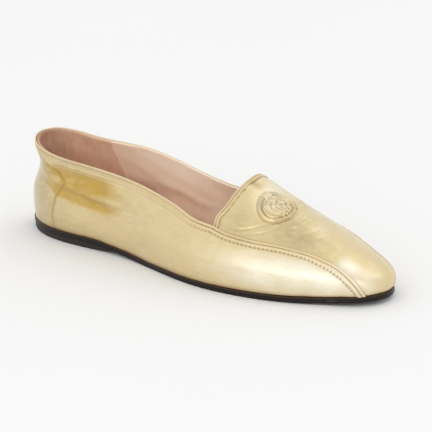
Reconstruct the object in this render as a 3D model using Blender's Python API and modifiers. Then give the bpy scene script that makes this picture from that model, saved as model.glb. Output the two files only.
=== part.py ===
# Right-foot slip-on loafer: one lasted leather upper on a thin outsole, a low heel lift
# and an insole. The toe points to +X, the inner (medial) side of the foot to +Y, and
# the shoe stands on the plane z = 0.
# Tables and sizes are in millimetres, with x measured from the heel's back. Meshes are
# written in metres, with the origin on the floor under the middle of the heel seat.

import bmesh
import bpy
import numpy as np

MM = 0.001
HEEL_CENTRE = 30.0

# Driving sizes.
SOLE_LENGTH = 250.4
TOE_SIDE_SHIFT = 3.0
SOLE_THICKNESS = 3.5
SOLE_EDGE_RADIUS = 0.9
SOLE_EDGE_FACET = 0.3          # share of the radius where the rounding is split
HEEL_RISE = 3.5
WAIST_START, WAIST_END = 56.0, 112.0
TOE_SPRING = 2.8
SPRING_START = 185.0
SPRING_POWER = 1.8
JOINT_GAP = 0.3

WALL = 1.6
FEATHER_INSET = 0.7
SIDE_BULGE, END_BULGE = 1.5, 0.9
SIDE_BULGE_HEIGHT, TOE_BULGE_HEIGHT = 13.4, 6.4
HEEL_END_REACH = 28.0
TOE_BLEND_AT, TOE_BLEND = 205.0, 12.0
TUCK_SHARE = 0.22
TUCK_POWER = 1.25
WALL_LEAN_POWER = 2.0
ACHILLES_PINCH = 5.6
PINCH_REACH = 20.0
PINCH_AT, PINCH_SPREAD = 0.56, 0.27

# Rounding of the wall where tuck and wall meet: weights of five rows spread over a
# reach of rise, which closes at the feather line and at the top edge.
ROUNDING_WEIGHTS = (1.0, 4.0, 6.0, 4.0, 1.0)
ROUNDING_REACH = 0.17
ROUNDING_FOOT, ROUNDING_TOP = 0.20, 0.30

THROAT_SHARE = 0.345
WALL_TO_VAMP_AT, WALL_TO_VAMP_BLEND = 132.0, 9.0
MEDIAL_BLEND_START, MEDIAL_BLEND_END = 131.0, 150.0    # the steeper medial wall blends later
NOSE_START, NOSE_POWER = 205.0, 2.3

HEEL_SEAT_INSET = 0.6
LIFT_EDGE_INSET, LIFT_EDGE_HEIGHT = 0.5, 0.4
HEEL_BREAST = 78.0
LIFT_FLAT_END = 56.0
LIFT_BREAST_RISE = 1.4

INSOLE_GAP = 0.4
INSOLE_THICKNESS = 1.8

# Steps around the shoe and up its wall.
COLLAR_STEPS, TONGUE_STEPS, TUCK_STEPS, WALL_STEPS = 41, 38, 4, 12
OUTLINE_STEPS = 1440
SOLE_STEPS = 48
SHARP_ANGLE = 40.0

# Sole outline, a row per section: x, outer (lateral) edge y, inner (medial) edge y.
SOLE_SECTIONS = [
    (10.6, -16.2, 16.6),
    (32.3, -25.4, 24.6),
    (62.0, -26.4, 24.6),
    (92.0, -27.6, 21.5),
    (121.5, -33.8, 24.0),
    (151.5, -38.8, 31.5),
    (181.5, -36.9, 36.0),
    (207.6, -30.1, 33.2),
    (230.0, -19.8, 24.6),
    (245.7, -9.4, 14.6),
]

# Collar top line, a row per section: x, lateral y, lateral z, medial y, medial z.
COLLAR_SECTIONS = [
    (3.3, 0.0, 55.0, 0.0, 55.0),
    (6.9, -9.0, 54.1, 8.6, 55.3),
    (14.6, -15.6, 52.8, 15.2, 53.7),
    (30.0, -21.3, 51.0, 20.6, 50.3),
    (50.0, -23.2, 49.9, 22.5, 49.5),
    (75.0, -23.9, 48.7, 23.4, 48.1),
    (100.0, -24.9, 46.2, 23.6, 42.9),
    (125.0, -28.0, 41.7, 24.8, 37.3),
    (134.0, -29.1, 39.2, 25.5, 36.0),
    (140.0, -29.8, 36.9, 26.1, 35.4),
    (146.5, -30.4, 35.4, 26.7, 35.1),
    (158.5, -31.0, 34.3, 27.5, 35.0),
]

# Tongue edge between the two throat corners, a row per point: x, y.
TONGUE_EDGE = [
    (158.5, -31.0),
    (157.7, -27.5),
    (159.2, -24.0),
    (160.1, -19.0),
    (160.3, -12.0),
    (160.3, -4.0),
    (159.2, 6.0),
    (156.4, 16.0),
    (155.4, 23.0),
    (158.5, 27.5),
]

# Vamp ridge, a row per section: x, ridge y, ridge z, lateral fullness, medial fullness.
# Fullness goes from 0, the plain arch of a parabola, to 1, a round shoulder.
VAMP_SECTIONS = [
    (140.0, 4.0, 59.5, 0.20, 0.60),
    (160.0, 4.0, 54.4, 0.25, 0.60),
    (180.0, 3.5, 44.3, 0.45, 0.65),
    (200.0, 3.0, 35.6, 0.60, 0.70),
    (220.0, 3.0, 28.6, 0.80, 0.80),
    (250.0, 3.0, 19.0, 0.90, 0.90),
]

GOLD_LEATHER = ("gold_leather", (0.78, 0.62, 0.30), 0.34, 0.85)
BLACK_SOLE = ("black_sole", (0.018, 0.016, 0.015), 0.5, 0.0)
BLACK_RUBBER = ("black_rubber", (0.02, 0.02, 0.02), 0.65, 0.0)
PINK_SOCK = ("pink_sock", (0.60, 0.40, 0.31), 0.55, 0.0)


def ease(value, start, stop):
    """Smooth step from 0 at start to 1 at stop."""
    t = np.clip((value - start) / (stop - start), 0.0, 1.0)
    return t * t * (3.0 - 2.0 * t)


def bell(value, middle, width):
    return np.exp(-((value - middle) / width) ** 2)


def curve_through(knots, rows, at):
    """Natural cubic spline through rows at the given knots, read at the values at."""
    knots, rows, at = (np.asarray(values, float) for values in (knots, rows, at))
    step = np.diff(knots)
    count = len(knots)
    matrix = np.eye(count)
    right = np.zeros_like(rows)
    for i in range(1, count - 1):
        matrix[i, i - 1:i + 2] = step[i - 1], 2.0 * (step[i - 1] + step[i]), step[i]
        slope_after = (rows[i + 1] - rows[i]) / step[i]
        slope_before = (rows[i] - rows[i - 1]) / step[i - 1]
        right[i] = 6.0 * (slope_after - slope_before)
    bend = np.linalg.solve(matrix, right)
    k = np.clip(np.searchsorted(knots, at) - 1, 0, count - 2)
    a = ((knots[k + 1] - at) / step[k])[:, None]
    b = 1.0 - a
    curve = (a ** 3 - a) * bend[k] + (b ** 3 - b) * bend[k + 1]
    return a * rows[k] + b * rows[k + 1] + curve * step[k][:, None] ** 2 / 6.0


def lengths_along(points):
    steps = np.linalg.norm(np.diff(points, axis=0), axis=1)
    return np.concatenate([[0.0], np.cumsum(steps)])


# The sole: outline in plan, and the height of its lower and upper face.

def sole_bottom(x):
    heel = HEEL_RISE * (1.0 - ease(x, WAIST_START, WAIST_END))
    reach = np.clip((x - SPRING_START) / (SOLE_LENGTH - SPRING_START), 0.0, None)
    return heel + TOE_SPRING * reach ** SPRING_POWER


def sole_top(x):
    return sole_bottom(x) + SOLE_THICKNESS


def sole_outline(share):
    """Plan point and outward direction of the sole's edge, at shares of its length
    measured from the heel's back along the lateral side to the toe and round again."""
    table = np.array(SOLE_SECTIONS)
    heel, toe = [[0.0, 0.0]], [[SOLE_LENGTH, TOE_SIDE_SHIFT]]
    loop = np.vstack([heel, table[:, [0, 1]], toe, table[::-1, :][:, [0, 2]], heel])
    along = lengths_along(loop)
    wrapped = np.vstack([loop[-4:-1], loop, loop[1:4]])
    knots = np.concatenate([along[-4:-1] - along[-1], along, along[1:4] + along[-1]])
    fine = curve_through(knots, wrapped, np.linspace(0.0, along[-1], OUTLINE_STEPS + 1))
    fine_along = lengths_along(fine)
    tangent = np.gradient(fine, axis=0)
    tangent[0] = tangent[-1] = fine[1] - fine[-2]
    outward = np.column_stack([tangent[:, 1], -tangent[:, 0]])
    outward /= np.linalg.norm(outward, axis=1)[:, None]
    at = np.asarray(share) * fine_along[-1]
    point = np.column_stack([np.interp(at, fine_along, fine[:, i]) for i in (0, 1)])
    out = np.column_stack([np.interp(at, fine_along, outward[:, i]) for i in (0, 1)])
    return point, out / np.linalg.norm(out, axis=1)[:, None]


# The last: feather line, widest line, collar, tongue edge and vamp.

def end_weight(x):
    """1 at the heel's back and at the toe, 0 along the sides."""
    return np.clip(bell(x, 0.0, HEEL_END_REACH) + toe_weight(x), 0.0, 1.0)


def toe_weight(x):
    return 1.0 / (1.0 + np.exp(-(x - TOE_BLEND_AT) / TOE_BLEND))


def feather_line(share):
    point, outward = sole_outline(share)
    return point - FEATHER_INSET * outward, outward


def widest_line(share):
    """The line where the upper stands out furthest, a little above the sole."""
    feather, outward = feather_line(share)
    x = feather[:, 0]
    stand_out = SIDE_BULGE + (END_BULGE - SIDE_BULGE) * end_weight(x)
    above = SIDE_BULGE_HEIGHT + (TOE_BULGE_HEIGHT - SIDE_BULGE_HEIGHT) * toe_weight(x)
    height = sole_top(x) + JOINT_GAP + above
    return np.column_stack([feather + outward * stand_out[:, None], height])


def collar_line(share):
    """Collar top line for shares before the lateral and after the medial corner."""
    table = np.array(COLLAR_SECTIONS)
    lateral = table[:, [0, 1, 2]]
    medial = table[:, [0, 3, 4]]
    run = np.vstack([medial[::-1], lateral[1:]])
    along = lengths_along(run)
    back = along[len(medial) - 1]
    scale = np.where(along < back, back, along[-1] - back)
    knots = (along - back) / scale
    at = np.where(share < 0.5, share, share - 1.0) / THROAT_SHARE
    return curve_through(knots, run, at)


class Vamp:
    """Height of the forepart over a plan point: an arch from side to side that
    falls along the ridge and closes round the toe."""

    def __init__(self):
        widest = widest_line(np.linspace(0.0, 1.0, OUTLINE_STEPS + 1))
        tip = int(np.argmax(widest[:, 0]))
        self.lateral = widest[:tip + 1]
        self.medial = widest[tip:][::-1]
        self.lateral = self.lateral[np.argmin(self.lateral[:, 0]):]
        self.medial = self.medial[np.argmin(self.medial[:, 0]):]
        self.tip_x = widest[tip, 0]
        self.sections = np.array(VAMP_SECTIONS)

    def height(self, x, y):
        first, last = self.sections[0, 0], self.sections[-1, 0]
        section = curve_through(self.sections[:, 0], self.sections[:, 1:], np.clip(x, first, last))
        ridge_y, ridge_z, lateral_fullness, medial_fullness = section.T
        lateral_y = np.interp(x, self.lateral[:, 0], self.lateral[:, 1])
        medial_y = np.interp(x, self.medial[:, 0], self.medial[:, 1])
        base = np.interp(x, self.lateral[:, 0], self.lateral[:, 2])
        is_lateral = y < ridge_y
        width = np.where(is_lateral, ridge_y - lateral_y, medial_y - ridge_y)
        fullness = np.where(is_lateral, lateral_fullness, medial_fullness)
        across = np.clip(np.abs(y - ridge_y) / np.maximum(width, 0.001), 0.0, 1.0)
        forward = np.clip((x - NOSE_START) / (self.tip_x - NOSE_START), 0.0, 1.0)
        nose = np.sqrt(1.0 - forward ** NOSE_POWER)
        slope = 1.0 - across ** 2
        arch = fullness * np.sqrt(slope) + (1.0 - fullness) * slope
        return base + (ridge_z - base) * nose * arch


def tongue_line(share, vamp):
    """Tongue edge over the instep, for shares between the two throat corners."""
    rows = np.array(TONGUE_EDGE)
    along = lengths_along(rows)
    across = (share - THROAT_SHARE) / (1.0 - 2.0 * THROAT_SHARE)
    plan = curve_through(along / along[-1], rows, across)
    corners = np.array([COLLAR_SECTIONS[-1]])
    lateral_lift = corners[0, 2] - vamp.height(corners[:, 0], corners[:, 1])[0]
    medial_lift = corners[0, 4] - vamp.height(corners[:, 0], corners[:, 3])[0]
    height = vamp.height(plan[:, 0], plan[:, 1])
    height += lateral_lift * (1.0 - across) + medial_lift * across
    return np.column_stack([plan, height])


class UpperFace:
    """Outer face of the upper over the given shares: from the feather line at rise 0,
    over the widest line at TUCK_SHARE, to the top edge at rise 1."""

    def __init__(self, share):
        self.vamp = Vamp()
        self.feather, self.outward = feather_line(share)
        self.widest = widest_line(share)
        self.top = collar_line(share)
        in_tongue = (share > THROAT_SHARE) & (share < 1.0 - THROAT_SHARE)
        self.top[in_tongue] = tongue_line(share[in_tongue], self.vamp)
        x = self.feather[:, 0]
        self.foot = sole_top(x) + JOINT_GAP
        later = ease(x, MEDIAL_BLEND_START, MEDIAL_BLEND_END)
        self.to_vamp = 1.0 / (1.0 + np.exp(-(x - WALL_TO_VAMP_AT) / WALL_TO_VAMP_BLEND))
        self.to_vamp *= np.where(share < 0.5, 1.0, later)
        self.top_lift = self.top[:, 2] - self.vamp.height(self.top[:, 0], self.top[:, 1])

    def tuck_row(self, t):
        plan = self.feather + (self.widest[:, :2] - self.feather) * np.sin(0.5 * np.pi * t)
        height = self.foot + (self.widest[:, 2] - self.foot) * t ** TUCK_POWER
        return np.column_stack([plan, height])

    def wall_row(self, t):
        lean = t ** WALL_LEAN_POWER
        plan = self.widest[:, :2] + (self.top[:, :2] - self.widest[:, :2]) * lean
        wall = self.widest[:, 2] + (self.top[:, 2] - self.widest[:, 2]) * t
        arch = self.vamp.height(plan[:, 0], plan[:, 1]) + self.top_lift * lean
        height = wall + (arch - wall) * self.to_vamp
        heel = bell(self.feather[:, 0], 0.0, PINCH_REACH)
        pinch = ACHILLES_PINCH * heel * bell(t, PINCH_AT, PINCH_SPREAD)
        return np.column_stack([plan - self.outward * pinch[:, None], height])

    def plain_row(self, rise):
        if rise <= TUCK_SHARE:
            return self.tuck_row(rise / TUCK_SHARE)
        return self.wall_row((rise - TUCK_SHARE) / (1.0 - TUCK_SHARE))

    def row(self, rise):
        reach = ROUNDING_REACH * min(1.0, rise / ROUNDING_FOOT, (1.0 - rise) / ROUNDING_TOP)
        offsets = np.linspace(-reach, reach, len(ROUNDING_WEIGHTS))
        rows = [self.plain_row(rise + offset) for offset in offsets]
        return np.average(rows, axis=0, weights=ROUNDING_WEIGHTS)


# Blender objects.

def make_material(finish):
    name, colour, roughness, metallic = finish
    material = bpy.data.materials.new(name)
    material.use_nodes = True
    shader = material.node_tree.nodes["Principled BSDF"]
    shader.inputs["Base Color"].default_value = (*colour, 1.0)
    shader.inputs["Roughness"].default_value = roughness
    shader.inputs["Metallic"].default_value = metallic
    material.diffuse_color = (*colour, 1.0)
    return material


def add_object(name, mesh_builder, finish, collection):
    mesh = bpy.data.meshes.new(name)
    mesh_builder.to_mesh(mesh)
    mesh_builder.free()
    mesh.shade_smooth()
    mesh.set_sharp_from_angle(angle=np.radians(SHARP_ANGLE))
    mesh.materials.append(make_material(finish))
    piece = bpy.data.objects.new(name, mesh)
    collection.objects.link(piece)
    return piece


def loft(mesh_builder, rows, closed=True):
    """Quads between rows of equally many points. Returns the rows' vertices."""
    origin = np.array([HEEL_CENTRE, 0.0, 0.0])
    rings = [[mesh_builder.verts.new((point - origin) * MM) for point in row] for row in rows]
    for lower, upper in zip(rings, rings[1:]):
        for i in range(len(lower) if closed else len(lower) - 1):
            j = (i + 1) % len(lower)
            mesh_builder.faces.new((lower[i], lower[j], upper[j], upper[i]))
    return rings


def cap(mesh_builder, ring, flip):
    """Strips across a ring whose first half is lateral and second half medial."""
    count = len(ring)
    for i in range(count // 2):
        corners = [ring[i], ring[i + 1], ring[(count - i - 1) % count], ring[(count - i) % count]]
        corners = list(dict.fromkeys(corners))
        mesh_builder.faces.new(corners[::-1] if flip else corners)


def outline_shares(x_end=None):
    """Shares round the outline, lateral side first, closer together at the ends.
    With x_end they stop there on both sides, which leaves a straight front."""
    turn = np.linspace(0.0, 1.0, SOLE_STEPS + 1)
    if x_end is None:
        lateral = 0.25 * (1.0 - np.cos(np.pi * turn))
        return np.concatenate([lateral, 1.0 - lateral[1:-1][::-1]])
    fine = np.linspace(0.0, 0.5, OUTLINE_STEPS)
    spread = 1.0 - np.cos(0.5 * np.pi * turn)
    lateral = spread * np.interp(x_end, sole_outline(fine)[0][:, 0], fine)
    medial = 1.0 - spread * np.interp(x_end, sole_outline(1.0 - fine)[0][:, 0], fine)
    return np.concatenate([lateral, medial[1:][::-1]])


def plate(name, inset, section, finish, collection, x_end=None):
    """Closed plate with the sole's outline set in. Each row of section is the
    extra inset and a function giving the height over x."""
    point, outward = sole_outline(outline_shares(x_end))
    rows = []
    for extra, height in section:
        plan = point - outward * (inset + extra)
        rows.append(np.column_stack([plan, height(plan[:, 0])]))
    builder = bmesh.new()
    rings = loft(builder, rows)
    cap(builder, rings[0], flip=True)
    cap(builder, rings[-1], flip=False)
    return add_object(name, builder, finish, collection)


def make_upper(collection):
    lateral = np.linspace(0.0, THROAT_SHARE, COLLAR_STEPS + 1)
    tongue = np.linspace(THROAT_SHARE, 1.0 - THROAT_SHARE, TONGUE_STEPS + 1)
    share = np.concatenate([lateral, tongue[1:], (1.0 - lateral[1:-1])[::-1]])
    tuck = np.linspace(0.0, TUCK_SHARE, TUCK_STEPS)
    wall = np.linspace(TUCK_SHARE, 1.0, WALL_STEPS + 1)
    face = UpperFace(share)
    builder = bmesh.new()
    loft(builder, [face.row(rise) for rise in np.concatenate([tuck, wall[1:]])])
    upper = add_object("upper", builder, GOLD_LEATHER, collection)
    shell = upper.modifiers.new("leather_and_lining", "SOLIDIFY")
    shell.thickness = WALL * MM
    shell.offset = -1.0
    shell.use_even_offset = True
    shell.use_rim = True
    return upper


def make_outsole(collection):
    facet = SOLE_EDGE_FACET * SOLE_EDGE_RADIUS
    section = [
        (SOLE_EDGE_RADIUS, sole_bottom),
        (facet, lambda x: sole_bottom(x) + facet),
        (0.0, lambda x: sole_bottom(x) + SOLE_EDGE_RADIUS),
        (0.0, sole_top),
    ]
    return plate("outsole", 0.0, section, BLACK_SOLE, collection)


def make_heel_lift(collection):
    def lift_bottom(x):
        return LIFT_BREAST_RISE * np.clip((x - LIFT_FLAT_END) / (HEEL_BREAST - LIFT_FLAT_END), 0.0, 1.0) ** 2

    section = [
        (LIFT_EDGE_INSET, lift_bottom),
        (0.0, lambda x: lift_bottom(x) + LIFT_EDGE_HEIGHT),
        (0.0, lambda x: sole_bottom(x) - JOINT_GAP),
    ]
    return plate("heel_lift", HEEL_SEAT_INSET, section, BLACK_RUBBER, collection, HEEL_BREAST)


def make_insole(collection):
    def insole_bottom(x):
        return sole_top(x) + JOINT_GAP

    section = [
        (0.0, insole_bottom),
        (0.0, lambda x: insole_bottom(x) + INSOLE_THICKNESS),
    ]
    inset = FEATHER_INSET + WALL + INSOLE_GAP
    return plate("insole", inset, section, PINK_SOCK, collection)


def main():
    for piece in list(bpy.data.objects):
        bpy.data.objects.remove(piece, do_unlink=True)
    loafer = bpy.data.collections.new("loafer")
    bpy.context.scene.collection.children.link(loafer)
    make_outsole(loafer)
    make_heel_lift(loafer)
    make_insole(loafer)
    make_upper(loafer)


main()
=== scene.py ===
import math

import bpy
import numpy as np
from mathutils import Matrix, Vector


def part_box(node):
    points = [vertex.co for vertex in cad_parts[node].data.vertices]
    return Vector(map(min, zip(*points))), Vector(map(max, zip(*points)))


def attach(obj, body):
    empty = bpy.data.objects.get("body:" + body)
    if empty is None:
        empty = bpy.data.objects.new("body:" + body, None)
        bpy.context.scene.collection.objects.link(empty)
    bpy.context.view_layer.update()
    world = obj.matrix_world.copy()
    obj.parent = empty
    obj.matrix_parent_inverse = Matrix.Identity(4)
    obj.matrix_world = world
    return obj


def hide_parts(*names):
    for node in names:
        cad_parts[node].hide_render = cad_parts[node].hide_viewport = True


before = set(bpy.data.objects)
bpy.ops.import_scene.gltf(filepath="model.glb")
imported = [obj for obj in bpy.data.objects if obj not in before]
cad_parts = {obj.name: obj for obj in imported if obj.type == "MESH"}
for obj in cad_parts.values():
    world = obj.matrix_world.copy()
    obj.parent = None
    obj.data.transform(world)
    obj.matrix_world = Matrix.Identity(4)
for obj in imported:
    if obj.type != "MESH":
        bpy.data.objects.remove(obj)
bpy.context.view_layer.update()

# Sizes are in millimetres on the shoe, x from the heel's back to the toe, y towards the
# inner side of the foot, z up from the floor. Meshes are written in metres.
mm = 0.001
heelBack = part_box("outsole")[0].x
print("frame loaded, heel's back at", round(heelBack, 4))


# The last: every leather piece lies on it, at a share round the sole's edge (0 at the
# heel's back, 0.5 at the toe, outer side first) and a rise up the wall (0 to 1).
last = {
    "soleLength": 250.4,
    "toeSideShift": 3.0,
    "soleThickness": 3.5,
    "heelRise": 3.5,
    "waist": (56.0, 112.0),
    "toeSpring": (185.0, 2.8, 1.8),     # start, height, power
    "jointGap": 0.3,
    "featherInset": 0.7,
    "drape": (0.6, 0.15),               # leather hanging over the sole's edge, at heel and toe
    "drapeBlend": (130.0, 175.0),
    "sideBulge": (1.5, 13.4),           # stand-out, height over the sole
    "endBulge": (0.9, 6.4),
    "heelEnd": 28.0,                    # reach of the heel's rounded end
    "toeBlend": (205.0, 12.0),
    "tuck": (0.22, 1.25),               # rise of the widest line, power
    "pinch": (5.6, 20.0, 0.56, 0.27),   # hollow over the heel: depth, reach, place and spread up the wall
    "throat": 0.345,                    # share of the throat's corner
    "wallToVamp": (132.0, 9.0),
    "medialBlend": (131.0, 150.0),      # the steeper medial wall blends later
    "nose": (205.0, 2.3),
    "rounding": (0.17, 0.20, 0.30),     # reach of rise, closing from the foot and to the top
    "roundingWeights": (1.0, 4.0, 6.0, 4.0, 1.0),
    "outlineSteps": 5760,
    "tableSteps": (2000, 160),
}

# Length round the whole edge and up the wall, for paths of shares and rises.
unrolled = np.array([549.0, 45.0])
blockSize = 4000        # points handled at once

# x, outer edge y, inner edge y
soleSections = [
    (10.6, -16.2, 16.6),
    (32.3, -25.4, 24.6),
    (62.0, -26.4, 24.6),
    (92.0, -27.6, 21.5),
    (121.5, -33.8, 24.0),
    (151.5, -38.8, 31.5),
    (181.5, -36.9, 36.0),
    (207.6, -30.1, 33.2),
    (230.0, -19.8, 24.6),
    (245.7, -9.4, 14.6),
]

# x, outer y and z, inner y and z of the opening's edge
collarSections = [
    (3.3, 0.0, 55.0, 0.0, 55.0),
    (6.9, -9.0, 54.1, 8.6, 55.3),
    (14.6, -15.6, 52.8, 15.2, 53.7),
    (30.0, -21.3, 51.0, 20.6, 50.3),
    (50.0, -23.2, 49.9, 22.5, 49.5),
    (75.0, -23.9, 48.7, 23.4, 48.1),
    (100.0, -24.9, 46.2, 23.6, 42.9),
    (125.0, -28.0, 41.7, 24.8, 37.3),
    (134.0, -29.1, 39.2, 25.5, 36.0),
    (140.0, -29.8, 36.9, 26.1, 35.4),
    (146.5, -30.4, 35.4, 26.7, 35.1),
    (158.5, -31.0, 34.3, 27.5, 35.0),
]

tongueEdge = [
    (158.5, -31.0),
    (157.7, -27.5),
    (159.2, -24.0),
    (160.1, -19.0),
    (160.3, -12.0),
    (160.3, -4.0),
    (159.2, 6.0),
    (156.4, 16.0),
    (155.4, 23.0),
    (158.5, 27.5),
]

# x, ridge y and z, fullness of the outer and inner side
vampSections = [
    (140.0, 4.0, 59.5, 0.20, 0.60),
    (160.0, 4.0, 54.4, 0.25, 0.60),
    (180.0, 3.5, 44.3, 0.45, 0.65),
    (200.0, 3.0, 35.6, 0.60, 0.70),
    (220.0, 3.0, 28.6, 0.80, 0.80),
    (250.0, 3.0, 19.0, 0.90, 0.90),
]


def ease(value, start, stop):
    t = np.clip((value - start) / (stop - start), 0.0, 1.0)
    return t * t * (3.0 - 2.0 * t)


def bell(value, middle, width):
    return np.exp(-((value - middle) / width) ** 2)


def turnover(value, middle, width):
    return 1.0 / (1.0 + np.exp(-(value - middle) / width))


def lengthsAlong(points):
    steps = np.linalg.norm(np.diff(points, axis=0), axis=1)
    return np.concatenate([[0.0], np.cumsum(steps)])


# Columns of rows, known at the places length, read at the places at.
def resampled(at, length, rows):
    return np.stack([np.interp(at, length, column) for column in rows.T], axis=-1)


def unit(vectors):
    return vectors / np.maximum(np.linalg.norm(vectors, axis=-1, keepdims=True), 1e-12)


# Natural cubic spline through rows at the knots, read at the values at.
def curveThrough(knots, rows, at):
    knots, rows, at = (np.asarray(values, float) for values in (knots, rows, at))
    step = np.diff(knots)
    count = len(knots)
    matrix = np.eye(count)
    right = np.zeros_like(rows)
    for i in range(1, count - 1):
        matrix[i, i - 1:i + 2] = step[i - 1], 2.0 * (step[i - 1] + step[i]), step[i]
        right[i] = 6.0 * ((rows[i + 1] - rows[i]) / step[i] - (rows[i] - rows[i - 1]) / step[i - 1])
    bend = np.linalg.solve(matrix, right)
    k = np.clip(np.searchsorted(knots, at) - 1, 0, count - 2)
    a = ((knots[k + 1] - at) / step[k])[:, None]
    b = 1.0 - a
    curve = (a ** 3 - a) * bend[k] + (b ** 3 - b) * bend[k + 1]
    return a * rows[k] + b * rows[k + 1] + curve * step[k][:, None] ** 2 / 6.0


def smoothPath(points, count):
    along = lengthsAlong(np.asarray(points, float))
    return curveThrough(along, points, np.linspace(0.0, along[-1], count))


def soleBottom(x):
    start, height, power = last["toeSpring"]
    reach = np.clip((x - start) / (last["soleLength"] - start), 0.0, None)
    return last["heelRise"] * (1.0 - ease(x, *last["waist"])) + height * reach ** power


def soleTop(x):
    return soleBottom(x) + last["soleThickness"]


def outlineTable():
    table = np.array(soleSections)
    heel, toe = [[0.0, 0.0]], [[last["soleLength"], last["toeSideShift"]]]
    loop = np.vstack([heel, table[:, [0, 1]], toe, table[::-1, :][:, [0, 2]], heel])
    along = lengthsAlong(loop)
    wrapped = np.vstack([loop[-4:-1], loop, loop[1:4]])
    knots = np.concatenate([along[-4:-1] - along[-1], along, along[1:4] + along[-1]])
    fine = curveThrough(knots, wrapped, np.linspace(0.0, along[-1], last["outlineSteps"] + 1))
    fineAlong = lengthsAlong(fine)
    tangent = np.gradient(fine, axis=0)
    tangent[0] = tangent[-1] = fine[1] - fine[-2]
    outward = unit(np.column_stack([tangent[:, 1], -tangent[:, 0]]))
    return fineAlong / fineAlong[-1], fine, outward


outlineShare, outlinePoint, outlineOut = outlineTable()


# Plan point and outward direction of the sole's edge.
def soleOutline(share):
    at = np.mod(share, 1.0)
    return resampled(at, outlineShare, outlinePoint), unit(resampled(at, outlineShare, outlineOut))


def toeWeight(x):
    return turnover(x, *last["toeBlend"])


def featherLine(share):
    point, outward = soleOutline(share)
    return point - last["featherInset"] * outward, outward


def widestLine(share):
    feather, outward = featherLine(share)
    x = feather[:, 0]
    sideOut, sideHigh = last["sideBulge"]
    endOut, endHigh = last["endBulge"]
    endWeight = np.clip(bell(x, 0.0, last["heelEnd"]) + toeWeight(x), 0.0, 1.0)
    standOut = sideOut + (endOut - sideOut) * endWeight
    height = soleTop(x) + last["jointGap"] + sideHigh + (endHigh - sideHigh) * toeWeight(x)
    return np.column_stack([feather + outward * standOut[:, None], height])


def collarLine(share):
    table = np.array(collarSections)
    outer, inner = table[:, [0, 1, 2]], table[:, [0, 3, 4]]
    run = np.vstack([inner[::-1], outer[1:]])
    along = lengthsAlong(run)
    back = along[len(inner) - 1]
    knots = (along - back) / np.where(along < back, back, along[-1] - back)
    at = np.where(share < 0.5, share, share - 1.0) / last["throat"]
    return curveThrough(knots, run, at)


widestRow = widestLine(np.linspace(0.0, 1.0, 1441))
tipIndex = int(np.argmax(widestRow[:, 0]))
widestOuter, widestInner = widestRow[:tipIndex + 1], widestRow[tipIndex:][::-1]
widestOuter = widestOuter[np.argmin(widestOuter[:, 0]):]
widestInner = widestInner[np.argmin(widestInner[:, 0]):]
vampTable = np.array(vampSections)


# Height of the forepart over a plan point.
def vampHeight(x, y):
    known = vampTable[:, 0]
    section = curveThrough(known, vampTable[:, 1:], np.clip(x, known[0], known[-1]))
    ridgeY, ridgeZ, outerFull, innerFull = section.T
    outerY = np.interp(x, widestOuter[:, 0], widestOuter[:, 1])
    innerY = np.interp(x, widestInner[:, 0], widestInner[:, 1])
    base = np.interp(x, widestOuter[:, 0], widestOuter[:, 2])
    isOuter = y < ridgeY
    width = np.where(isOuter, ridgeY - outerY, innerY - ridgeY)
    fullness = np.where(isOuter, outerFull, innerFull)
    across = np.clip(np.abs(y - ridgeY) / np.maximum(width, 0.001), 0.0, 1.0)
    noseStart, nosePower = last["nose"]
    forward = np.clip((x - noseStart) / (widestRow[tipIndex, 0] - noseStart), 0.0, 1.0)
    slope = 1.0 - across ** 2
    arch = fullness * np.sqrt(slope) + (1.0 - fullness) * slope
    return base + (ridgeZ - base) * np.sqrt(1.0 - forward ** nosePower) * arch


def tongueLine(share):
    rows = np.array(tongueEdge)
    along = lengthsAlong(rows)
    across = (share - last["throat"]) / (1.0 - 2.0 * last["throat"])
    plan = curveThrough(along / along[-1], rows, across)
    x, outerY, outerZ, innerY, innerZ = (np.array([value]) for value in collarSections[-1])
    outerLift = outerZ - vampHeight(x, outerY)
    innerLift = innerZ - vampHeight(x, innerY)
    height = vampHeight(plan[:, 0], plan[:, 1]) + outerLift * (1.0 - across) + innerLift * across
    return np.column_stack([plan, height])


# Rows of the last for a list of rises, before the wall and the tuck are rounded together.
def plainRows(share, rises):
    feather, outward = featherLine(share)
    widest = widestLine(share)
    top = collarLine(share)
    inTongue = (share > last["throat"]) & (share < 1.0 - last["throat"])
    top[inTongue] = tongueLine(share[inTongue])
    x = feather[:, 0]
    drape, toeDrape = last["drape"]
    foot = soleTop(x) + last["jointGap"] - drape + (drape - toeDrape) * ease(x, *last["drapeBlend"])
    toVamp = turnover(x, *last["wallToVamp"]) * np.where(share < 0.5, 1.0, ease(x, *last["medialBlend"]))
    topLift = top[:, 2] - vampHeight(top[:, 0], top[:, 1])
    tuck, tuckPower = last["tuck"]
    pinch, pinchReach, pinchAt, pinchSpread = last["pinch"]
    heel = pinch * bell(x, 0.0, pinchReach)
    rows = []
    for rise in rises:
        if rise <= tuck:
            t = rise / tuck
            plan = feather + (widest[:, :2] - feather) * np.sin(0.5 * np.pi * t)
            height = foot + (widest[:, 2] - foot) * t ** tuckPower
        else:
            t = (rise - tuck) / (1.0 - tuck)
            lean = t ** 2
            plan = widest[:, :2] + (top[:, :2] - widest[:, :2]) * lean
            wall = widest[:, 2] + (top[:, 2] - widest[:, 2]) * t
            height = wall + (vampHeight(plan[:, 0], plan[:, 1]) + topLift * lean - wall) * toVamp
            plan = plan - outward * (heel * bell(t, pinchAt, pinchSpread))[:, None]
        rows.append(np.column_stack([plan, height]))
    return np.array(rows)


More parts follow.
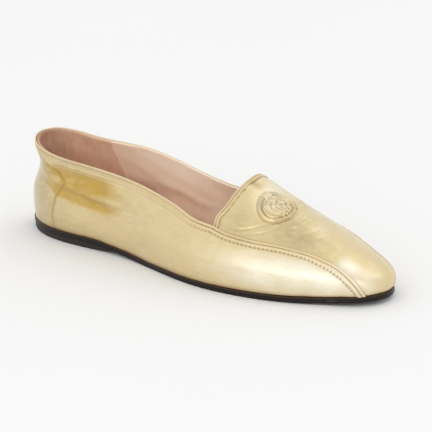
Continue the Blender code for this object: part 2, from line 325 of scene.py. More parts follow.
def lastTable():
    shareSteps, riseSteps = last["tableSteps"]
    share = np.arange(shareSteps) / shareSteps
    rise = np.linspace(0.0, 1.0, riseSteps + 1)
    reach, foot, top = last["rounding"]
    reach = reach * np.minimum(1.0, np.minimum(rise / foot, (1.0 - rise) / top))
    weights = last["roundingWeights"]
    offsets = np.linspace(-1.0, 1.0, len(weights))
    rows = sum(weight * plainRows(share, rise + offset * reach)
               for offset, weight in zip(offsets, weights)) / sum(weights)
    return np.concatenate([2.0 * rows[:1] - rows[1:2], rows, 2.0 * rows[-1:] - rows[-2:-1]])


lastRows = lastTable()


# Four-point weights and their slopes at a part between two steps.
def fourPoint(part):
    squared, cubed = part ** 2, part ** 3
    weights = (squared - 0.5 * (part + cubed), 1.0 - 2.5 * squared + 1.5 * cubed,
               0.5 * part + 2.0 * squared - 1.5 * cubed, 0.5 * (cubed - squared))
    slopes = (2.0 * part - 0.5 - 1.5 * squared, 4.5 * squared - 5.0 * part,
              0.5 + 4.0 * part - 4.5 * squared, 1.5 * squared - part)
    return weights, slopes


# Points of the last for flat arrays of shares and rises, with their directions along the
# share and up the rise.
def readLast(share, rise):
    shareSteps, riseSteps = last["tableSteps"]
    shareAt, riseAt = np.mod(share, 1.0) * shareSteps, np.clip(rise, 0.0, 1.0) * riseSteps
    column = np.floor(shareAt).astype(int)
    row = np.minimum(np.floor(riseAt).astype(int), riseSteps - 1)
    acrossWeights, acrossSlopes = fourPoint(shareAt - column)
    upWeights, upSlopes = fourPoint(riseAt - row)
    point, alongShare, upRise = (np.zeros((len(share), 3)) for i in range(3))
    for i in range(4):
        value, slope = np.zeros((len(share), 3)), np.zeros((len(share), 3))
        for j in range(4):
            found = lastRows[row + i, np.mod(column + j - 1, shareSteps)]
            value += acrossWeights[j][:, None] * found
            slope += acrossSlopes[j][:, None] * found
        point += upWeights[i][:, None] * value
        upRise += upSlopes[i][:, None] * value
        alongShare += upWeights[i][:, None] * slope
    return point, alongShare * shareSteps, upRise * riseSteps


# Points of the last for shares and rises of any shape.
def lastPoint(share, rise):
    return readLast(share.ravel(), rise.ravel())[0].reshape(*share.shape, 3)


# Directions along the share and up the rise, and the outward normal.
def lastSlopes(share, rise):
    point, alongShare, upRise = readLast(share, rise)
    return alongShare, upRise, unit(np.cross(alongShare, upRise))


# Walks over the last from each place, in steps, starting in the direction heading.
def walkOver(share, rise, heading, distances):
    share, rise, heading = share.copy(), rise.copy(), unit(heading)
    places, walked = [], 0.0
    for distance in distances:
        hop = distance - walked
        alongShare, upRise, normal = lastSlopes(share, rise)
        heading = unit(heading - normal * np.sum(heading * normal, axis=1)[:, None])
        aa, bb, ab = (np.sum(p * q, axis=1) for p, q in
                      ((alongShare, alongShare), (upRise, upRise), (alongShare, upRise)))
        ha, hb = np.sum(heading * alongShare, axis=1) * hop, np.sum(heading * upRise, axis=1) * hop
        area = aa * bb - ab * ab
        share = share + (ha * bb - hb * ab) / area
        rise = np.clip(rise + (hb * aa - ha * ab) / area, 0.0, 1.0)
        walked = distance
        places.append((share.copy(), rise.copy()))
    return places


# Folds that every layer of the upper follows: path in x and y, (depth, half-width) of the
# trough, then the ridge in front of it and the one behind it as (height, distance,
# half-width).
vampFolds = [
    ([(164.8, -28.9), (171.0, -28.2), (177.8, -25.2), (182.6, -20.8), (187.0, -15.8), (190.6, -10.3),
      (192.2, -2.7), (190.6, 5.5), (187.4, 13.5), (182.0, 21.5)],
     (0.42, 0.48), (0.20, 1.2, 0.58), (0.15, 1.1, 0.5)),
    ([(178.5, -28.2), (183.8, -24.4), (188.8, -19.6), (193.8, -12.2), (196.1, -5.5), (196.4, 2.0),
      (195.0, 12.0)],
     (0.34, 0.48), (0.18, 1.2, 0.58), (0.10, 1.2, 0.6)),
    ([(188.9, 1.5), (187.9, 4.5), (185.6, 11.0), (181.4, 19.0)],
     (0.34, 0.5), (0.20, 1.1, 0.5), (0.15, 1.1, 0.5)),
    ([(184.0, -18.5), (189.0, -14.5), (193.2, -8.5), (194.4, -3.0), (194.0, 3.0)],
     (0.20, 0.4), (0.13, 0.9, 0.4), (0.13, 0.9, 0.4)),
    ([(170.0, -26.0), (176.5, -23.0), (181.0, -18.6), (184.6, -13.4)],
     (0.16, 0.4), (0.07, 0.9, 0.4), (0.07, 0.9, 0.4)),
    ([(164.0, 10.0), (170.0, 13.5), (178.0, 14.5), (186.0, 19.0)],
     (0.16, 0.9), (0.10, 1.7, 0.9), (0.10, 1.7, 0.9)),
    ([(163.0, -20.0), (168.0, -12.0), (170.5, -3.0)],
     (0.07, 0.9), (0.04, 1.8, 0.9), (0.04, 1.8, 0.9)),
    ([(168.0, -26.0), (174.0, -21.5), (178.5, -17.0)],
     (0.09, 0.8), (0.05, 1.6, 0.8), (0.06, 1.6, 0.8)),
    ([(196.0, -19.5), (202.0, -13.0), (206.0, -4.0), (206.5, 6.0)],
     (0.18, 0.9), (0.10, 1.8, 1.0), (0.12, 1.8, 1.0)),
    ([(204.0, -17.5), (210.0, -9.0), (212.0, 1.0)],
     (0.10, 0.8), (0.06, 1.6, 0.9), (0.08, 1.6, 0.9)),
]

# The same on the outer side, in x and z.
outerFolds = [
    ([(33.0, 42.2), (40.0, 41.8), (47.0, 41.6), (58.0, 41.3), (74.0, 40.4)],
     (0.70, 2.0), (0.36, 3.6, 1.6), (0.25, 3.2, 1.5)),
    ([(36.0, 32.8), (47.5, 30.9), (60.0, 28.9), (74.0, 27.4), (92.0, 26.4)],
     (0.90, 2.3), (0.30, 4.4, 2.2), (0.42, 4.2, 1.7)),
    ([(62.0, 38.6), (70.0, 37.4), (84.0, 35.4)],
     (0.25, 1.3), (0.14, 2.4, 1.3), (0.14, 2.4, 1.3)),
    ([(22.0, 46.6), (30.0, 44.9), (35.6, 43.0), (41.0, 40.6), (44.5, 38.6)],
     (0.22, 0.6), (0.10, 1.3, 0.6), (0.24, 1.4, 0.7)),
    ([(23.5, 42.0), (31.8, 38.2), (37.3, 35.9), (41.4, 34.8)],
     (0.34, 0.8), (0.20, 1.7, 0.8), (0.20, 1.7, 0.8)),
    ([(21.0, 38.5), (28.0, 34.8), (34.0, 32.4), (39.0, 31.6)],
     (0.24, 0.8), (0.14, 1.7, 0.8), (0.14, 1.7, 0.8)),
    ([(64.0, 40.1), (73.9, 38.6), (82.0, 36.6), (90.0, 35.4)],
     (0.16, 0.7), (0.08, 1.5, 0.7), (0.12, 1.5, 0.7)),
    ([(84.0, 28.2), (90.1, 28.4), (97.2, 29.2), (105.0, 29.2)],
     (0.20, 0.8), (0.08, 1.5, 0.7), (0.20, 1.6, 0.8)),
    ([(86.0, 24.4), (96.4, 25.6), (104.0, 25.8)],
     (0.10, 0.8), (0.05, 1.5, 0.7), (0.10, 1.6, 0.8)),
]

foldSizes = {
    "vamp": (158.0, 166.0),         # x where the vamp's folds start
    "outerStart": (8.0, 14.0),      # -y where the outer side's folds start
    "outerEnd": (110.0, 130.0),     # x where they end
    "fades": (0.16, 0.22, 1.5),     # parts at the start and the end, reach past them
    "unevenness": 0.11,
}

# Small lumps between the two hollows of the outer side, and soft dents: middle, depth
# and half-width.
lumps = {"middle": (55.0, 36.8), "reach": (13.0, 2.3), "height": 0.17}
dents = [
    ((165.0, -1.0, 51.0), 0.40, 3.4),
    ((201.0, -12.0, 31.5), 0.55, 9.0),
    ((176.0, 12.0, 44.0), 0.25, 5.0),
    ((120.0, -31.0, 28.0), 0.30, 10.0),
]


# Signed distance from a path, its part (0 to 1) and how far a place is past its ends.
def nearPath(places, path, count=90):
    dense = smoothPath(path, count)
    tangent = unit(np.gradient(dense, axis=0))
    nearest = np.empty(len(places), int)
    for start in range(0, len(places), blockSize):
        gaps = places[start:start + blockSize, None, :] - dense[None, :, :]
        nearest[start:start + blockSize] = np.argmin(np.sum(gaps ** 2, axis=2), axis=1)
    gap = places - dense[nearest]
    side = tangent[nearest, 0] * gap[:, 1] - tangent[nearest, 1] * gap[:, 0]
    past = np.sqrt(np.maximum(np.sum(gap ** 2, axis=1) - side ** 2, 0.0))
    return side, nearest / (count - 1), past


def foldShape(places, fold):
    path, (depth, width), front, behind = fold
    side, part, past = nearPath(places, path)
    shape = -depth * bell(side, 0.0, width)
    for (height, away, spread), sign in ((front, -1.0), (behind, 1.0)):
        shape = shape + height * bell(side, sign * away, spread)
    start, end, reach = foldSizes["fades"]
    return shape * (ease(part, 0.0, start) * ease(1.0 - part, 0.0, end) * bell(past, 0.0, reach))


# Slow unevenness of soft leather, from a few crossed waves.
def unevenness(point):
    x, y, z = point.T
    waves = np.sin(0.21 * x + 0.13 * y + 0.9) * np.sin(0.17 * y - 0.26 * z + 0.4)
    waves = waves + 0.6 * np.sin(0.37 * x - 0.29 * z + 2.1) * np.sin(0.31 * y + 0.19 * x)
    return foldSizes["unevenness"] * waves


def foldHeight(point):
    x, y, z = point.T
    height = unevenness(point)
    onVamp = ease(x, *foldSizes["vamp"])
    side = ease(-y, *foldSizes["outerStart"]) * (1.0 - ease(x, *foldSizes["outerEnd"]))
    forward = onVamp > 0.0
    for fold in vampFolds:
        height[forward] += foldShape(point[:, [0, 1]][forward], fold) * onVamp[forward]
    outer = side > 0.0
    for fold in outerFolds:
        height[outer] += foldShape(point[:, [0, 2]][outer], fold) * side[outer]
    (lumpX, lumpZ), (reachX, reachZ) = lumps["middle"], lumps["reach"]
    waves = np.sin(1.45 * x + 0.9 * z) * np.sin(0.75 * x - 1.7 * z + 0.5)
    height = height + lumps["height"] * waves * side * bell(x, lumpX, reachX) * bell(z, lumpZ, reachZ)
    for middle, depth, width in dents:
        height = height - depth * bell(np.linalg.norm(point - np.array(middle), axis=1), 0.0, width)
    return height


# Points of a layer: lift is its height over the last's surface.
def layerPoints(share, rise, lift):
    shape = share.shape
    share, rise = share.ravel(), rise.ravel()
    point, alongShare, upRise = readLast(share, rise)
    normal = unit(np.cross(alongShare, upRise))
    height = foldHeight(point) + np.broadcast_to(lift, shape).ravel()
    return (point + normal * height[:, None]).reshape(*shape, 3)


# Meshes.

def gridFaces(index):
    return np.stack([index[:-1, :-1], index[:-1, 1:], index[1:, 1:], index[1:, :-1]], axis=-1).reshape(-1, 4)


def enclosedVolume(verts, faces):
    a, b, c, d = (verts[faces[:, i]] for i in range(4))
    return np.sum(np.cross(b - a, c - a) * a) + np.sum(np.cross(c - a, d - a) * a)


# Closed shell between two grids of points of the same shape.
def shell(outer, inner):
    rows, columns = outer.shape[:2]
    index = np.arange(rows * columns).reshape(rows, columns)
    rim = np.concatenate([index[0, :-1], index[:-1, -1], index[-1, :0:-1], index[:0:-1, 0]])
    following, count = np.roll(rim, -1), rows * columns
    walls = np.column_stack([rim, rim + count, following + count, following])
    faces = np.vstack([gridFaces(index), gridFaces(index + count)[:, ::-1], walls])
    verts = np.vstack([outer.reshape(-1, 3), inner.reshape(-1, 3)])
    return verts, faces if enclosedVolume(verts, faces) > 0.0 else faces[:, ::-1]


# Tube through rows of points: each row is a closed loop, and both ends are capped.
def tube(rows):
    count, sides = rows.shape[:2]
    index = np.arange(count * sides).reshape(count, sides)
    index = np.column_stack([index, index[:, 0]])
    verts, faces = rows.reshape(-1, 3), gridFaces(index)
    if enclosedVolume(verts - verts.mean(axis=0), faces) < 0.0:
        faces = faces[:, ::-1]
    return verts, [*faces.tolist(), index[0, :-1].tolist(), index[-1, :-1][::-1].tolist()]


def addPiece(name, verts, faces, finish, marks, replaces=(), sharp=55.0):
    mesh = bpy.data.meshes.new(name)
    placed = np.asarray(verts) * mm + np.array([heelBack, 0.0, 0.0])
    faces = faces.tolist() if isinstance(faces, np.ndarray) else faces
    mesh.from_pydata(placed.tolist(), [], faces)
    mesh.shade_smooth()
    mesh.set_sharp_from_angle(angle=math.radians(sharp))
    for mark, values in marks.items():
        attribute = mesh.attributes.new(mark, "FLOAT", "POINT")
        attribute.data.foreach_set("value", np.asarray(values, float).ravel())
    mesh.materials.append(finish)
    piece = bpy.data.objects.new(name, mesh)
    bpy.context.scene.collection.objects.link(piece)
    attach(piece, "root")
    if replaces:
        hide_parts(*replaces)


# Places along a length, closer together at both ends.
def spaced(length, endStep, middleStep, endWidth):
    places = [0.0]
    while places[-1] < length:
        fromEnd = min(places[-1], length - places[-1])
        wider = float(ease(fromEnd, 0.5 * endWidth, 2.0 * endWidth))
        places.append(places[-1] + endStep + (middleStep - endStep) * wider)
    return np.array(places) / places[-1]


# Places along a length with a step of its own on given spans: (start, length, step), the
# whole length first.
def denser(spans):
    length = spans[0][1]
    fine = np.linspace(0.0, length, 2001)
    step = np.full_like(fine, spans[0][2])
    for start, reach, finer in spans[1:]:
        inside = ease(fine, start - 3.0, start) * (1.0 - ease(fine, start + reach, start + reach + 3.0))
        step = step + (finer - step) * inside
    count = np.concatenate([[0.0], np.cumsum(np.diff(fine) / step[1:])])
    return np.interp(np.linspace(0.0, count[-1], int(count[-1]) + 1), count, fine / length)


# Patch of shares and rises inside four sides, each a pair of shares and rises. Bottom and
# top run from the left side to the right one, and left and right run upward.
def patch(bottom, top, left, right, across, upward):
    def along(side, at):
        side = np.column_stack(side)
        length = lengthsAlong(side * unrolled)
        return resampled(at * length[-1], length, side)

    low, high = along(bottom, across)[None], along(top, across)[None]
    first, second = along(left, upward)[:, None], along(right, upward)[:, None]
    a, b = across[None, :, None], upward[:, None, None]
    corners = ((1 - a) * (1 - b) * low[:, :1] + a * (1 - b) * low[:, -1:]
               + (1 - a) * b * high[:, :1] + a * b * high[:, -1:])
    places = (1 - b) * low + b * high + (1 - a) * first + a * second - corners
    return places[..., 0], np.clip(places[..., 1], 0.0, 1.0)


# Distance of points from a path in space.
def distanceFrom(points, path):
    flat = points.reshape(-1, 3)
    best = np.full(len(flat), 1e9)
    for start in range(0, len(flat), blockSize):
        part = flat[start:start + blockSize]
        square = np.sum(part ** 2, axis=1)[:, None] - 2 * part @ path.T + np.sum(path ** 2, axis=1)[None]
        nearest = np.clip(np.argmin(square, axis=1), 1, len(path) - 2)
        for first in (nearest - 1, nearest):
            begin, way = path[first], path[first + 1] - path[first]
            t = np.clip(np.sum((part - begin) * way, axis=1) / np.sum(way ** 2, axis=1), 0.0, 1.0)
            gap = np.linalg.norm(part - begin - way * t[:, None], axis=1)
            best[start:start + blockSize] = np.minimum(best[start:start + blockSize], gap)
    return best.reshape(points.shape[:-1])


# Finishes. Signal wraps a socket, so that shader maths reads as plain expressions.

class Signal:
    def __init__(self, finish, socket):
        self.finish, self.socket = finish, socket

    def maths(self, operation, *values):
        return self.finish.node("ShaderNodeMath", {"operation": operation}, dict(enumerate(values)))

    def __add__(self, other):
        return self.maths("ADD", self, other)

    def __radd__(self, other):
        return self.maths("ADD", other, self)

    def __sub__(self, other):
        return self.maths("SUBTRACT", self, other)

    def __rsub__(self, other):
        return self.maths("SUBTRACT", other, self)

    def __mul__(self, other):
        return self.maths("MULTIPLY", self, other)

    def __rmul__(self, other):
        return self.maths("MULTIPLY", other, self)

    def limited(self):
        return self.finish.node("ShaderNodeClamp", {}, {"Value": self})

    def between(self, low, high):
        return self.finish.node("ShaderNodeMapRange", {"interpolation_type": "SMOOTHSTEP"},
                                {"Value": self, "From Min": low, "From Max": high})


class Finish:
    def __init__(self, name):
        self.material = bpy.data.materials.new(name)
        self.material.use_nodes = True
        self.tree = self.material.node_tree
        self.shader = self.tree.nodes["Principled BSDF"]
        self.place = self.node("ShaderNodeTexCoord", {}, {}, "Object")

    def node(self, kind, settings, sockets, output=0):
        made = self.tree.nodes.new(kind)
        for name, value in settings.items():
            setattr(made, name, value)
        self.fill(made, sockets)
        return Signal(self, made.outputs[output])

    def fill(self, made, sockets):
        for name, value in sockets.items():
            if isinstance(value, Signal):
                self.tree.links.new(value.socket, made.inputs[name])
            else:
                made.inputs[name].default_value = value

    def mark(self, name):
        return self.node("ShaderNodeAttribute", {"attribute_name": name}, {}, "Fac")

    def noise(self, size, detail=3.0, roughness=0.5, stretch=None, distortion=0.0):
        place = self.place
        if stretch:
            place = self.node("ShaderNodeVectorMath", {"operation": "MULTIPLY"}, {0: place, 1: stretch})
        return self.node("ShaderNodeTexNoise", {},
                         {"Vector": place, "Scale": 1.0 / (size * mm), "Detail": detail,
                          "Roughness": roughness, "Distortion": distortion}, "Fac")

    def cells(self, size):
        return self.node("ShaderNodeTexVoronoi", {"feature": "SMOOTH_F1"},
                         {"Vector": self.place, "Scale": 1.0 / (size * mm)}, "Distance")

    def mix(self, first, second, part):
        first, second = ((*c, 1.0) if isinstance(c, tuple) else c for c in (first, second))
        return self.node("ShaderNodeMix", {"data_type": "RGBA"}, {0: part, 6: first, 7: second}, 2)

    def bump(self, height, distance, below=None):
        sockets = {"Height": height, "Distance": distance * mm, "Strength": 1.0}
        if below:
            sockets["Normal"] = below
        return self.node("ShaderNodeBump", {}, sockets)

    def close(self, **sockets):
        self.fill(self.shader, {name.replace("_", " "): value for name, value in sockets.items()})
        return self.material


goldLook = {
    "pale": (0.760, 0.610, 0.318),
    # deeper gold for the hollows: painted shade and painted reflection
    "hollowShadeGold": (0.55, 0.335, 0.035),
    # whiter gold: painted highlight, also random pale bloom
    "paintedHighlightAndBloom": (0.95, 0.88, 0.70),
    "shaded": (0.49, 0.385, 0.185),
    # wear, and painted highlight on edges and ridges
    "rubbedAndHighlight": (0.86, 0.71, 0.46),
    # dirt, and painted shade in grooves, needle holes and under edges
    "soiledAndShaded": (0.33, 0.17, 0.045),
    "grain": 0.55,          # size of the leather's grain
    "grainDepth": 0.04,
    "wrinkle": 2.4,
    "wrinkleDepth": 0.17,
    "swell": 7.0,
    "swellDepth": 0.30,
    "streak": 1.5,
    "streakDepth": 0.10,
    "roughness": 0.37,
    "metallic": 0.86,
    "coat": 0.9,
    "coatRoughness": 0.32,
    "coatIndex": 1.6,
}


def goldLeather():
    look, f = goldLook, Finish("goldLeather")
    # The marks carry painted light and shade: deeper gold painted into hollows and seams as shade and
    # reflection, rubbed edges that are wear and painted highlight, darkening that is dirt and painted shade,
    # and patches of painted highlight and painted shade.
    paintedHollowShade, rubAndHighlight, soilAndShade, paintedLightShade = f.mark("paintedHollowShade"), f.mark("rubAndHighlight"), f.mark("soilAndShade"), f.mark("paintedLightShade")
    cloud = f.noise(24.0, detail=4.0)
    bloom = f.noise(7.0, detail=4.0, roughness=0.6, stretch=(0.8, 1.0, 1.1))
    mottle = f.noise(4.2, detail=5.0, roughness=0.62, stretch=(0.55, 1.0, 1.15))
    fleck = f.noise(1.1, detail=2.0)
    worn = (rubAndHighlight * (0.55 + 0.9 * fleck)).limited()
    # Deeper gold: painted shade and painted reflection in the hollows, with random clouding.
    hollowShadeAndCloud = (paintedHollowShade * (0.35 + 1.3 * mottle) + (cloud - 0.5) * 0.3).limited()
    colour = f.mix(look["pale"], look["hollowShadeGold"], hollowShadeAndCloud)
    # Whiter gold: painted highlights, with random pale bloom.
    colour = f.mix(colour, look["paintedHighlightAndBloom"], (paintedLightShade * (0.7 + 0.6 * mottle) + (bloom - 0.55) * 0.6).limited())
    # Duller gold: painted shade, with random mottling and flecks.
    shadeAndMottle = (0.0 - paintedLightShade) * (0.6 + 0.8 * mottle) + (mottle - 0.49) * 0.8 + (fleck - 0.5) * 0.35
    colour = f.mix(colour, look["shaded"], shadeAndMottle.limited())
    # Rubbed colour: wear, and painted highlights on edges and ridges.
    colour = f.mix(colour, look["rubbedAndHighlight"], worn * 0.8)
    # Darker brown: dirt, and painted shade in grooves, needle holes and under edges.
    colour = f.mix(colour, look["soiledAndShaded"], (soilAndShade * (0.6 + 0.6 * cloud)).limited())
    grain = f.cells(look["grain"])
    pores = f.noise(0.28, detail=2.0)
    wrinkles = f.noise(look["wrinkle"], detail=3.0, stretch=(0.75, 1.0, 1.3), distortion=0.6)
    normal = f.bump(f.noise(look["swell"], detail=2.0), look["swellDepth"])
    normal = f.bump(wrinkles, look["wrinkleDepth"], normal)
    streaks = f.noise(look["streak"], detail=2.0, stretch=(0.22, 1.0, 1.25), distortion=0.4)
    normal = f.bump(streaks, look["streakDepth"], normal)
    normal = f.bump(grain + pores * 0.5, look["grainDepth"], normal)
    roughness = look["roughness"] + (mottle - 0.5) * 0.22 + worn * 0.14 + soilAndShade * 0.2 + (fleck - 0.5) * 0.08
    return f.close(Base_Color=colour, Metallic=(look["metallic"] - worn * 0.35 - soilAndShade * 0.5).limited(),
                   Roughness=roughness.limited(), Normal=normal, Coat_Weight=look["coat"],
                   Coat_Roughness=look["coatRoughness"], Coat_IOR=look["coatIndex"])


liningLook = {
    "light": (0.88, 0.665, 0.51),
    "shade": (0.72, 0.485, 0.36),
    # wear, and painted light where more light reaches in
    "worn": (0.92, 0.75, 0.59),
    # painted shade
    "paintedShade": (0.42, 0.25, 0.165),
    "grain": 0.5,
    "grainDepth": 0.02,
    "roughness": 0.55,
}


def liningLeather(name, look):
    f = Finish(name)
    rubAndHighlight, soilAndShade, paintedLightShade = f.mark("rubAndHighlight"), f.mark("soilAndShade"), f.mark("paintedLightShade")
    cloud = f.noise(14.0, detail=5.0, roughness=0.6)
    fine = f.noise(1.6, detail=3.0)
    smear = f.noise(4.0, detail=4.0, stretch=(0.5, 1.0, 1.0))
    streak = f.noise(2.6, detail=4.0, roughness=0.6, stretch=(1.2, 1.2, 0.3))
    # Darker with random clouding and streaks, and towards the bottom, where the darkening is painted shade.
    shaded = cloud * 1.2 + smear * 0.8 + streak * 0.9 + soilAndShade * 0.8 - 1.15
    colour = f.mix(look["light"], look["shade"], shaded.limited())
    # Lighter: wear at the edges, and painted light.
    colour = f.mix(colour, look["worn"], (rubAndHighlight * (0.4 + fine) + paintedLightShade * (0.6 + 0.8 * smear)).limited())
    # Painted shade.
    colour = f.mix(colour, look["paintedShade"], ((0.0 - paintedLightShade) * (0.55 + 0.9 * streak)).limited())
    normal = f.bump(f.noise(3.5, detail=3.0), 0.08)
    normal = f.bump(f.cells(look["grain"]) + fine * 0.5, look["grainDepth"], normal)
    roughness = look["roughness"] + (cloud - 0.5) * 0.15 - rubAndHighlight * 0.1
    return f.close(Base_Color=colour, Roughness=roughness.limited(), Normal=normal)


soleLook = {
    "edge": (0.009, 0.0055, 0.0045),
    "brown": (0.070, 0.034, 0.014),
    "scuffed": (0.055, 0.047, 0.042),
    "roughness": 0.42,
    "specular": 0.26,
}


def soleLeather():
    look, f = soleLook, Finish("blackSole")
    rubAndHighlight, soilAndShade = f.mark("rubAndHighlight"), f.mark("soilAndShade")
    cloud = f.noise(9.0, detail=4.0)
    scratch = f.noise(1.2, detail=3.0, stretch=(0.25, 1.0, 1.0))
    # Browner towards the top of the edge.
    colour = f.mix(look["edge"], look["brown"], (soilAndShade * (0.5 + cloud)).limited())
    colour = f.mix(colour, look["scuffed"], (rubAndHighlight * scratch.between(0.45, 0.65)).limited())
    normal = f.bump(scratch, 0.03)
    normal = f.bump(f.noise(0.35), 0.012, normal)
    roughness = look["roughness"] + (cloud - 0.5) * 0.2 + rubAndHighlight * 0.3
    return f.close(Base_Color=colour, Roughness=roughness.limited(), Normal=normal,
                   Specular_IOR_Level=look["specular"])


liftLook = {
    "rubber": (0.012, 0.0105, 0.010),
    "dusty": (0.050, 0.044, 0.038),
    "roughness": 0.62,
}


def liftRubber():
    look, f = liftLook, Finish("liftRubber")
    rubAndHighlight = f.mark("rubAndHighlight")
    cloud = f.noise(6.0, detail=4.0)
    colour = f.mix(look["rubber"], look["dusty"], (rubAndHighlight * cloud.between(0.35, 0.7)).limited())
    normal = f.bump(f.noise(0.6, detail=3.0), 0.03)
    roughness = look["roughness"] + (cloud - 0.5) * 0.2
    return f.close(Base_Color=colour, Roughness=roughness.limited(), Normal=normal)


threadLook = {
    "light": (0.78, 0.66, 0.42),
    # painted shade in the twist's grooves
    "paintedShade": (0.52, 0.38, 0.18),
    "roughness": 0.5,
}


def stitchThread():
    look, f = threadLook, Finish("stitchThread")
    # Darker in the twist's grooves and lighter on its plies: painted shade and light.
    turn = f.mark("along") * 9.0 + f.mark("around") * 6.2832
    twist = f.node("ShaderNodeMath", {"operation": "SINE"}, {0: turn})
    colour = f.mix(look["paintedShade"], look["light"], (twist * 0.5 + 0.5 + (f.noise(0.7) - 0.5) * 0.4).limited())
    return f.close(Base_Color=colour, Roughness=look["roughness"] + twist * 0.05, Normal=f.bump(twist, 0.03))


gold = goldLeather()
lining = liningLeather("liningLeather", liningLook)
gripLook = dict(liningLook, light=(0.74, 0.485, 0.335), shade=(0.56, 0.32, 0.205), worn=(0.78, 0.56, 0.40),
                paintedShade=(0.30, 0.145, 0.085), roughness=0.72, grain=0.35)
grip = liningLeather("heelGripLeather", gripLook)
sockLook = dict(liningLook, light=(0.72, 0.53, 0.41), shade=(0.54, 0.36, 0.26), roughness=0.5)
sock = liningLeather("sockLeather", sockLook)
soleBlack = soleLeather()
rubber = liftRubber()
thread = stitchThread()
print("finishes made")


# Seams of the upper, as share and rise, on the outer side from the top to the sole.
plugSeam = [
    (0.3450, 1.0), (0.3563, 0.8765), (0.3707, 0.7929), (0.3863, 0.7406), (0.4022, 0.7027),
    (0.4176, 0.6692), (0.4321, 0.6367), (0.4453, 0.6029), (0.4560, 0.5590), (0.4626, 0.5030),
    (0.4646, 0.4440), (0.4656, 0.3700), (0.4670, 0.2760), (0.4688, 0.1900), (0.4712, 0.1100), (0.4747, 0.0),
]
innerPlugSeam = [
    (-0.3450, 1.0), (-0.3563, 0.8640), (-0.3707, 0.7600), (-0.3863, 0.6800), (-0.4022, 0.6080),
    (-0.4176, 0.5430), (-0.4321, 0.4820), (-0.4440, 0.4380), (-0.4530, 0.4000), (-0.4610, 0.3520),
    (-0.4675, 0.2950), (-0.4730, 0.2250), (-0.4775, 0.1500), (-0.4820, 0.0700), (-0.4850, 0.0),
]
heelSeam = [
    (0.0833, 0.0), (0.0817, 0.138), (0.0845, 0.244), (0.0885, 0.381), (0.0945, 0.494), (0.1010, 0.590),
    (0.1035, 0.640), (0.1010, 0.695), (0.0942, 0.745), (0.0850, 0.785), (0.0725, 0.815), (0.0550, 0.855),
    (0.0350, 0.900),
]
innerHeelSeam = [(-0.0870, 0.0), (-0.0862, 0.2), (-0.0885, 0.45), (-0.0860, 0.7), (-0.0840, 0.9)]


def splinePlaces(rows, count):
    places = smoothPath(np.array(rows) * unrolled, count) / unrolled
    return places[:, 0], np.clip(places[:, 1], 0.0, 1.0)


# Places at even steps along a path given as shares and rises.
def evenly(share, rise, step):
    length = lengthsAlong(lastPoint(share, rise))
    at = np.linspace(0.0, length[-1], int(round(length[-1] / step)) + 1)
    return np.interp(at, length, share), np.interp(at, length, rise), at


def smoothed(rows, reach):
    weight = bell(np.arange(-3 * reach, 3 * reach + 1), 0.0, float(reach))
    weight = weight / weight.sum()
    padded = np.pad(rows, ((3 * reach, 3 * reach), (0, 0)), mode="edge")
    return np.column_stack([np.convolve(column, weight, "valid") for column in padded.T])


# Inward heading beside an edge that is followed with the leather on its left.
def inwardFrom(share, rise, reach=8):
    tangent = smoothed(np.gradient(lastPoint(share, rise), axis=0), reach)
    return unit(np.cross(smoothed(lastSlopes(share, rise)[2], reach), tangent))


# The quarters' edge: up the outer plug seam, round the collar, down the inner seam.
edgeStep = 0.42
seamShare, seamRise = splinePlaces(plugSeam, 400)
innerShare, innerRise = splinePlaces(innerPlugSeam, 400)
collarShare = np.linspace(last["throat"], -last["throat"], 1500)[1:-1]
edgeShare, edgeRise, edgeAt = evenly(
    np.concatenate([seamShare[::-1], collarShare, innerShare]),
    np.concatenate([seamRise[::-1], np.ones(len(collarShare)), innerRise]), edgeStep)
edgeInward = inwardFrom(edgeShare, edgeRise)
edgeSpace = lastPoint(edgeShare, edgeRise)
isCollar = np.abs(edgeShare) < last["throat"]
throatAt = edgeAt[np.argmax(isCollar)], edgeAt[len(edgeAt) - 1 - np.argmax(isCollar[::-1])]
collarPart = (ease(edgeAt, throatAt[0] - 6.0, throatAt[0] + 26.0)
              * (1.0 - ease(edgeAt, throatAt[1] - 26.0, throatAt[1] + 6.0)))
print("edge of the opening and seams", round(edgeAt[-1], 1), "mm, collar from", throatAt)

# The tongue's edge, from the inner to the outer corner.
tongueShare, tongueRise, tongueAt = evenly(
    np.linspace(1.0 - last["throat"], last["throat"], 900), np.ones(900), edgeStep)
tongueInward = inwardFrom(tongueShare, tongueRise)
tongueSpace = lastPoint(tongueShare, tongueRise)

band = {
    "seamWidth": 3.9,
    "collarWidth": 4.5,
    "toeWidth": 4.7,
    "round": 0.5,           # radius of the folded edge
    "height": 0.60,
    "outerRidge": (0.22, 0.70, 0.17),       # height, part of the width, half-width
    "innerRidge": (0.10, 0.20, 0.12),
    "groove": (0.36, 0.06),
    "stitchA": (0.40, 1.35),    # part of the width, pitch
    "stitchB": (1.00, 2.40),
    "holeDepth": 0.36,
    "gather": 0.10,
    "collarRidge": (0.26, 1.85),    # height and spacing of the fine ridges round the collar
}
toePart = 1.0 - ease(edgeAt, 18.0, 46.0) * ease(edgeAt[-1] - edgeAt, 18.0, 46.0)
bandWidth = (band["seamWidth"] + (band["collarWidth"] - band["seamWidth"]) * collarPart
             + (band["toeWidth"] - band["seamWidth"]) * toePart)


# 1 at the needle holes along a row, 0 between them.
def holes(at, pitch, width=0.30):
    away = np.abs(np.mod(at + 0.5 * pitch, pitch) - 0.5 * pitch)
    return bell(away, 0.0, width)


# Uneven gathers along the collar.
def gathers(at):
    return np.sin(2.0 * np.pi * at / 3.3 + 1.4 * np.sin(at / 6.1)) * (0.55 + 0.45 * np.sin(at / 10.7 + 1.0))


# Fine ridges round the collar, at a distance from the edge, and the grooves between them.
def collarRidges(distance):
    height, spacing = band["collarRidge"]
    return height * np.cos(2.0 * np.pi * (distance - 0.45) / spacing)


